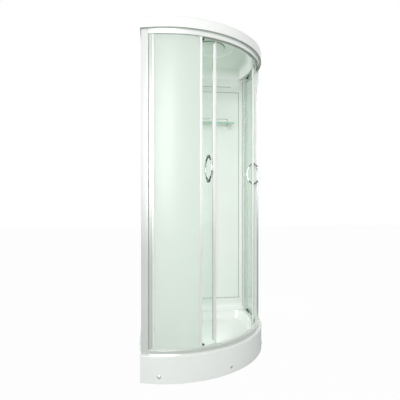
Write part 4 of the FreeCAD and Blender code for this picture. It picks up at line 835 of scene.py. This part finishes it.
def rollers(side):
    plates, bolts = [], []
    for level_name, level in FIXING_LEVELS.items():
        towards_rail = 1 if level_name == "upper" else -1
        for place_name, angle in ROLLER_ANGLES.items():
            bolt_place = along_radius(side, angle, level)
            axle_place = along_radius(side, angle, level + towards_rail * AXLE_FROM_BOLT)
            plates += [bracket_plate(bolt_place, towards_rail), turned(AXLE_PROFILE, axle_place, 24)]
            bolts.append(turned(CAP_PROFILE, bolt_place, 32))
            wheel = turned(WHEEL_PROFILE, axle_place, 48)
            piece(wheel, f"{side}_{level_name}_{place_name}_wheel", ["roller_plastic"], 0.15)
    piece(joined(plates), f"{side}_roller_brackets", ["roller_plastic"], 0.5)
    return piece(joined(bolts), f"{side}_roller_bolts", ["roller_plastic"], 0.2)


for side in HAND:
    made = rollers(side)
    print(made.name, "faces:", len(made.data.polygons))

# %% [markdown]
# ## Bow handles
#
# A handle is a pair of chrome bows, one on each side of the glass, joined through it. The tube is drawn
# finer towards its feet, and each foot stands on a round rosette. The bow is a curve with a radius at every
# point. In the photograph the bows are dark towards their feet, a reflection, so the last stretch of each
# bow and its rosettes take a darker chrome than its crown: a painted reflection.

# %% Bow handles
BOW_RADIUS = 93.5
HALF_SWEEP = 54.1
BOW_POINTS = 28
TUBE_CROWN = 5.5
TUBE_FOOT = 4.2
CROWN_FINISH, FOOT_REFLECTION_FINISH = 0, 1
DARK_FROM = 50
OUTER_BOW = {"apex": 655, "facing": 1, "rosette": (613, 619)}
INNER_BOW = {"apex": 565.9, "facing": -1, "rosette": (607.9, 601.9)}


def bow_tube(where, apex, facing):
    curve = bpy.data.curves.new("bow", "CURVE")
    curve.dimensions = "3D"
    curve.bevel_depth = 1.0
    curve.bevel_resolution = 6
    curve.use_fill_caps = True
    line = curve.splines.new("POLY")
    line.points.add(BOW_POINTS)
    middle = apex - facing * BOW_RADIUS
    for order, point in enumerate(line.points):
        share = 2 * order / BOW_POINTS - 1
        turn = math.radians(HALF_SWEEP) * share
        up = BOW_RADIUS * math.sin(turn)
        out = middle + facing * BOW_RADIUS * math.cos(turn)
        point.co = (*(where @ Vector((0, up / 1000, out / 1000))), 1)
        point.radius = (TUBE_CROWN - (TUBE_CROWN - TUBE_FOOT) * share ** 4) / 1000
    held = bpy.data.objects.new("bow", curve)
    mesh = bpy.data.meshes.new_from_object(held)
    form = bmesh.new()
    form.from_mesh(mesh)
    bpy.data.objects.remove(held)
    bpy.data.curves.remove(curve)
    bmesh.ops.recalc_face_normals(form, faces=form.faces)
    return form


def rosette(side, level, near, far):
    rise = far - near
    profile = [
        (0, near), (10, near), (10, near + rise * 0.4), (9.2, near + rise * 0.75), (6.6, far), (0, far),
    ]
    return turned(profile, along_radius(side, HANDLE_ANGLE, level), 36)


def handle(side, apex, facing, rosette_span):
    tube = bow_tube(along_radius(side, HANDLE_ANGLE, HANDLE_LEVEL), apex, facing)
    for face in tube.faces:
        from_middle = abs(face.calc_center_median().z * 1000 - HANDLE_LEVEL)
        face.material_index = FOOT_REFLECTION_FINISH if from_middle > DARK_FROM else CROWN_FINISH
    feet = [rosette(side, HANDLE_LEVEL + up, *rosette_span) for up in (-HANDLE_HALF, HANDLE_HALF)]
    for foot in feet:
        for face in foot.faces:
            face.material_index = FOOT_REFLECTION_FINISH
    return joined([tube, *feet])


for side in HAND:
    for name, bow in (("outer", OUTER_BOW), ("inner", INNER_BOW)):
        form = handle(side, bow["apex"], bow["facing"], bow["rosette"])
        made = piece(form, f"{side}_{name}_handle", ["chrome", "chrome_painted_reflection"])
        print(made.name, [round(v, 3) for v in made.dimensions])

# %% [markdown]
# ## Shelf and ceiling cover
#
# The shelf is a slab of clear glass with rounded front corners. It hangs above the camera, so mostly its
# front edge shows, as one line of bright green. The round cover in the ceiling is a shallow dish with the
# ceiling's finish, so it takes the same painted shade. The faces round its rim take a dark finish, painted
# shade that draws the circle in the photograph.

# %% Shelf and ceiling cover
SHELF = {"left": -210, "right": 285, "front": 316, "back": 430.5, "low": 1697, "thick": 6, "corner": 14}
COVER = {"x": 16, "y": -52, "radius": 114, "low": 2136, "high": 2140}
RING_WIDTH = 6
RING_SHADE_FINISH = 1


def shelf_glass():
    low, corner = SHELF["low"] / 1000, SHELF["corner"]
    outline = [(SHELF["left"], SHELF["back"])]
    for x, start in ((SHELF["left"] + corner, 180), (SHELF["right"] - corner, 270)):
        for step in range(7):
            turn = math.radians(start + 15 * step)
            outline.append((x + corner * math.cos(turn), SHELF["front"] + corner + corner * math.sin(turn)))
    outline.append((SHELF["right"], SHELF["back"]))
    form = extruded([(x / 1000, y / 1000, low) for x, y in outline], UP * SHELF["thick"] / 1000)
    for face in form.faces:
        if face.normal.y < -0.1:
            face.material_index = EDGE_FINISH
    return form


def ceiling_cover():
    low, high, radius = COVER["low"], COVER["high"], COVER["radius"]
    dish = [
        (0, low + 0.6), (70, low + 0.6), (74, low + 1.6), (78, low + 0.6),
        (radius - RING_WIDTH, low), (radius - 5, low + 1), (radius - 5, low + 2),
        (radius - 1, low + 2), (radius - 0.6, high), (0, high),
    ]
    form = turned(dish, Matrix.Translation((COVER["x"] / 1000, COVER["y"] / 1000, 0)), 96)
    for face in form.faces:
        middle = face.calc_center_median()
        from_axis = math.hypot(middle.x * 1000 - COVER["x"], middle.y * 1000 - COVER["y"])
        # The faces round the rim take the dark finish: painted shade.
        if radius - RING_WIDTH < from_axis < radius and face.normal.z < 0.9:
            face.material_index = RING_SHADE_FINISH
    return form


made = piece(shelf_glass(), "shelf_glass", ["clear_glass", "glass_edge"], 0.4)
print(made.name, [round(v, 3) for v in made.dimensions])
made = piece(ceiling_cover(), "ceiling_cover", ["roof_acrylic", "weather_strip_and_shade"], 0.2)
print(made.name, [round(v, 3) for v in made.dimensions])

# %% [markdown]
# ## Wall posts
#
# A wall post hides the joint between the front and the wall. Its plan has the front's curve on two
# sides and the wall's plane on the third. Such a post is hollow, but that doesn't show, so the plan is
# drawn as one face, in eight steps along each curve, and extruded upwards.

# %% Wall posts
POST = {"near": 60.9, "outer": 654, "inner": 638, "low": 163, "high": 2088, "plane": -440}


def wall_angle(radius):
    """How far round from the doorway a curve of this radius meets the post's wall plane."""
    reach = (POST["plane"] - FRONT_AXIS.x * 1000) / radius
    return -DOORWAY_BEARING + math.degrees(math.asin(-reach))


def arc_points(side, radius, start, end, height, count=8):
    share = [i / count for i in range(count + 1)]
    return [on_front(side, start + (end - start) * s, radius, height) for s in share]


def wall_post(side):
    front = arc_points(side, POST["outer"], POST["near"], wall_angle(POST["outer"]), POST["low"])
    back = arc_points(side, POST["inner"], wall_angle(POST["inner"]), POST["near"], POST["low"])
    return extruded(front + back, UP * (POST["high"] - POST["low"]) / 1000)


for side in HAND:
    made = piece(wall_post(side), f"{side}_wall_post", ["post_aluminium"], 1.5)
    print(made.name, [round(v, 4) for v in made.dimensions])

# %% [markdown]
# ## Lines on the wall panels
#
# Each wall panel is a raised border round a flat field. In the photograph the foot of that step is a fine
# dark line all the way round, probably where a sharp corner keeps out the light. Four slim strips laid in
# the corner paint that line as shade, and a fifth paints the dark line of shade at the foot of the roof's
# skirt. They are painted shade, not parts of the real cabin, and the panel itself stays the frame's own.

# %% Lines on the wall panels
FIELD = {"corner": -378, "post": 349, "low": 256, "high": 1980.6}
FIELD_PLANE = 436
SKIRT = {"low": 2021, "run": 277, "plane": 432}
LINE = {"width": 4, "rise": 0.9}


def slab(one, other):
    """A box between two opposite corners, in millimetres."""
    form = bmesh.new()
    size = [abs(b - a) / 1000 for a, b in zip(one, other)]
    middle = [(a + b) / 2000 for a, b in zip(one, other)]
    place = Matrix.Translation(middle) @ Matrix.Diagonal((*size, 1))
    bmesh.ops.create_cube(form, size=1.0, matrix=place)
    return form


def on_wall(side, along, depth, height):
    """The left wall is the right one mirrored in the diagonal of the floor plan."""
    return (along, depth, height) if side == "right" else (-depth, -along, height)


# A slim strip of painted shade, laid on a wall.
def painted_shade_strip(side, start, end, low, high, plane=FIELD_PLANE):
    return slab(on_wall(side, start, plane - LINE["rise"], low), on_wall(side, end, plane, high))


def field_lines(side):
    left, right, low, high = FIELD.values()
    width = LINE["width"]
    return joined([
        painted_shade_strip(side, left, SKIRT["run"], SKIRT["low"], SKIRT["low"] + width, SKIRT["plane"]),
        painted_shade_strip(side, left, right, high - width, high),
        painted_shade_strip(side, left, right, low, low + width),
        painted_shade_strip(side, left, left + width, low + width, high - width),
        painted_shade_strip(side, right - width, right, low + width, high - width),
    ])


for side in HAND:
    lines = piece(
        field_lines(side), f"{side}_wall_panel", ["weather_strip_and_shade"],
        name=f"{side}_field_lines", replaces=False,
    )
    print(lines.name, [round(v, 3) for v in lines.dimensions])

# %% [markdown]
# ## Light
#
# The cabin looks as if it was lit for a catalogue, so here is a bright white room, one tall soft box
# at the front left, and a smaller lamp above the camera. The world gives the room. What the camera
# sees directly is plain white, and so is what glass and metal mirror from above, while the floor
# stays a real surface.
# Little of the room's light finds its way inside, so two weak lamps stand in there, unseen: one in
# the doorway lights the walls, and one in the corner lights the front from behind. A third, outside
# the right half, evens out the etched pane. A bright card on the left lights nothing at all: it is
# there to be mirrored in the etched pane, where the photograph shows a broad soft highlight.

# %% World


ROOM_LIGHT = 0.62


def build_world():
    world = bpy.data.worlds.new("studio")
    world.use_nodes = True
    tree = world.node_tree
    tree.nodes.clear()
    rays = tree.nodes.new("ShaderNodeLightPath")
    lit = tree.nodes.new("ShaderNodeBackground")
    lit.inputs["Color"].default_value = (1, 1, 1, 1)
    lit.inputs["Strength"].default_value = ROOM_LIGHT
    seen = tree.nodes.new("ShaderNodeBackground")
    seen.inputs["Color"].default_value = (1, 1, 1, 1)
    seen.inputs["Strength"].default_value = 1.0
    mix = tree.nodes.new("ShaderNodeMixShader")
    out = tree.nodes.new("ShaderNodeOutputWorld")
    glass_or_metal = tree.nodes.new("ShaderNodeMath")
    glass_or_metal.operation = "MAXIMUM"
    tree.links.new(rays.outputs["Is Glossy Ray"], glass_or_metal.inputs[0])
    tree.links.new(rays.outputs["Is Transmission Ray"], glass_or_metal.inputs[1])
    any_of_them = tree.nodes.new("ShaderNodeMath")
    any_of_them.operation = "MAXIMUM"
    tree.links.new(rays.outputs["Is Camera Ray"], any_of_them.inputs[0])
    tree.links.new(glass_or_metal.outputs[0], any_of_them.inputs[1])
    tree.links.new(any_of_them.outputs[0], mix.inputs[0])
    tree.links.new(lit.outputs[0], mix.inputs[1])
    tree.links.new(seen.outputs[0], mix.inputs[2])
    tree.links.new(mix.outputs[0], out.inputs["Surface"])
    bpy.context.scene.world = world


def soft_box(name, place, target, width, height, power, seen=True, lights=True):
    lamp = bpy.data.lights.new(name, "AREA")
    lamp.shape = "RECTANGLE"
    lamp.size = width
    lamp.size_y = height
    lamp.energy = power
    held = bpy.data.objects.new(name, lamp)
    held.location = place
    held.rotation_euler = (Vector(target) - Vector(place)).to_track_quat("-Z", "Y").to_euler()
    held.visible_camera = seen
    held.visible_glossy = seen
    held.visible_diffuse = lights
    held.visible_transmission = lights
    bpy.context.scene.collection.objects.link(held)


build_world()
soft_box("lamp_in_doorway", (0.1, -0.1, 1.05), (-0.44, 0.44, 1.05), 0.2, 1.8, 2.0, seen=False)
soft_box("lamp_in_corner", (-0.34, 0.32, 1.2), (0.5, 0.1, 1.2), 0.14, 1.6, 2.9, seen=False)
soft_box("lamp_behind_right_pane", (1.0, 1.5, 1.1), (0.42, 0.25, 1.1), 0.5, 2.0, 8.0, seen=False)
soft_box("card_on_the_left", (-1.37, -3.6, 1.8), (-0.32, -0.42, 1.4), 1.3, 1.8, 42.0, lights=False)
soft_box("tall_soft_box", (-0.75, -3.6, 2.0), (-0.2, -0.3, 1.5), 0.7, 1.8, 50)
soft_box("lamp_above_camera", (-0.6, -3.5, 2.75), (-0.2, -0.4, 1.6), 0.35, 0.35, 8)
print("lamps:", [item.name for item in bpy.data.lights])

# %% [markdown]
# ## Floor
#
# The photograph has no floor line. The camera sees the floor as almost plain white, with only a
# trace of the object's shadow left in it, while everything else sees a mid grey floor: the lower
# rail and the feet of the uprights mirror it, and turn grey towards the ground as in the photograph.

# %% Floor


GLOW_SHARE = 0.97


def build_floor():
    form = bmesh.new()
    bmesh.ops.create_grid(form, x_segments=8, y_segments=8, size=12.0)
    mesh = bpy.data.meshes.new("floor")
    form.to_mesh(mesh)
    form.free()
    floor = bpy.data.objects.new("floor", mesh)
    bpy.context.scene.collection.objects.link(floor)
    finish = Finish("studio_floor")
    grain = finish.noise(3.0, 4.0)
    matt = finish.shader(Base_Color=finish.blend(grain, tone(0xC2C6C2), tone(0xCACDCA)), Roughness=0.9)
    glow = finish.node("Emission", {}, {"Color": (1, 1, 1, 1), "Strength": 1.0})
    seen = finish.node("LightPath", {}, {}, "Is Camera Ray")
    mesh.materials.append(finish.done(finish.mixed(seen * GLOW_SHARE, matt, glow)))


build_floor()
print("floor laid")

# %% [markdown]
# ## Camera
#
# The picture is taken from close by and from the left, level with the middle of the doors, so
# uprights stay upright while the curved front sweeps away to the right.

# %% Camera


SENSOR = 36.0
FOCAL_PIXELS = 365.24
PICTURE_PIXELS = 400


def build_camera():
    lens = bpy.data.cameras.new("catalogue_camera")
    lens.sensor_width = SENSOR
    lens.lens = FOCAL_PIXELS / PICTURE_PIXELS * SENSOR
    lens.clip_start = 0.05
    lens.clip_end = 60.0
    camera = bpy.data.objects.new("catalogue_camera", lens)
    camera.location = (-0.3712, -2.5786, 1.0763)
    camera.rotation_euler = (math.radians(90), 0, math.radians(-7.36))
    bpy.context.scene.collection.objects.link(camera)
    bpy.context.scene.camera = camera


build_camera()
scene = bpy.context.scene
scene.view_settings.view_transform = "Standard"
print("camera at", list(scene.camera.location))

# %% [markdown]
# ## Update
#
# The view layer is updated once more at the end.

# %% Update the view layer
bpy.context.view_layer.update()
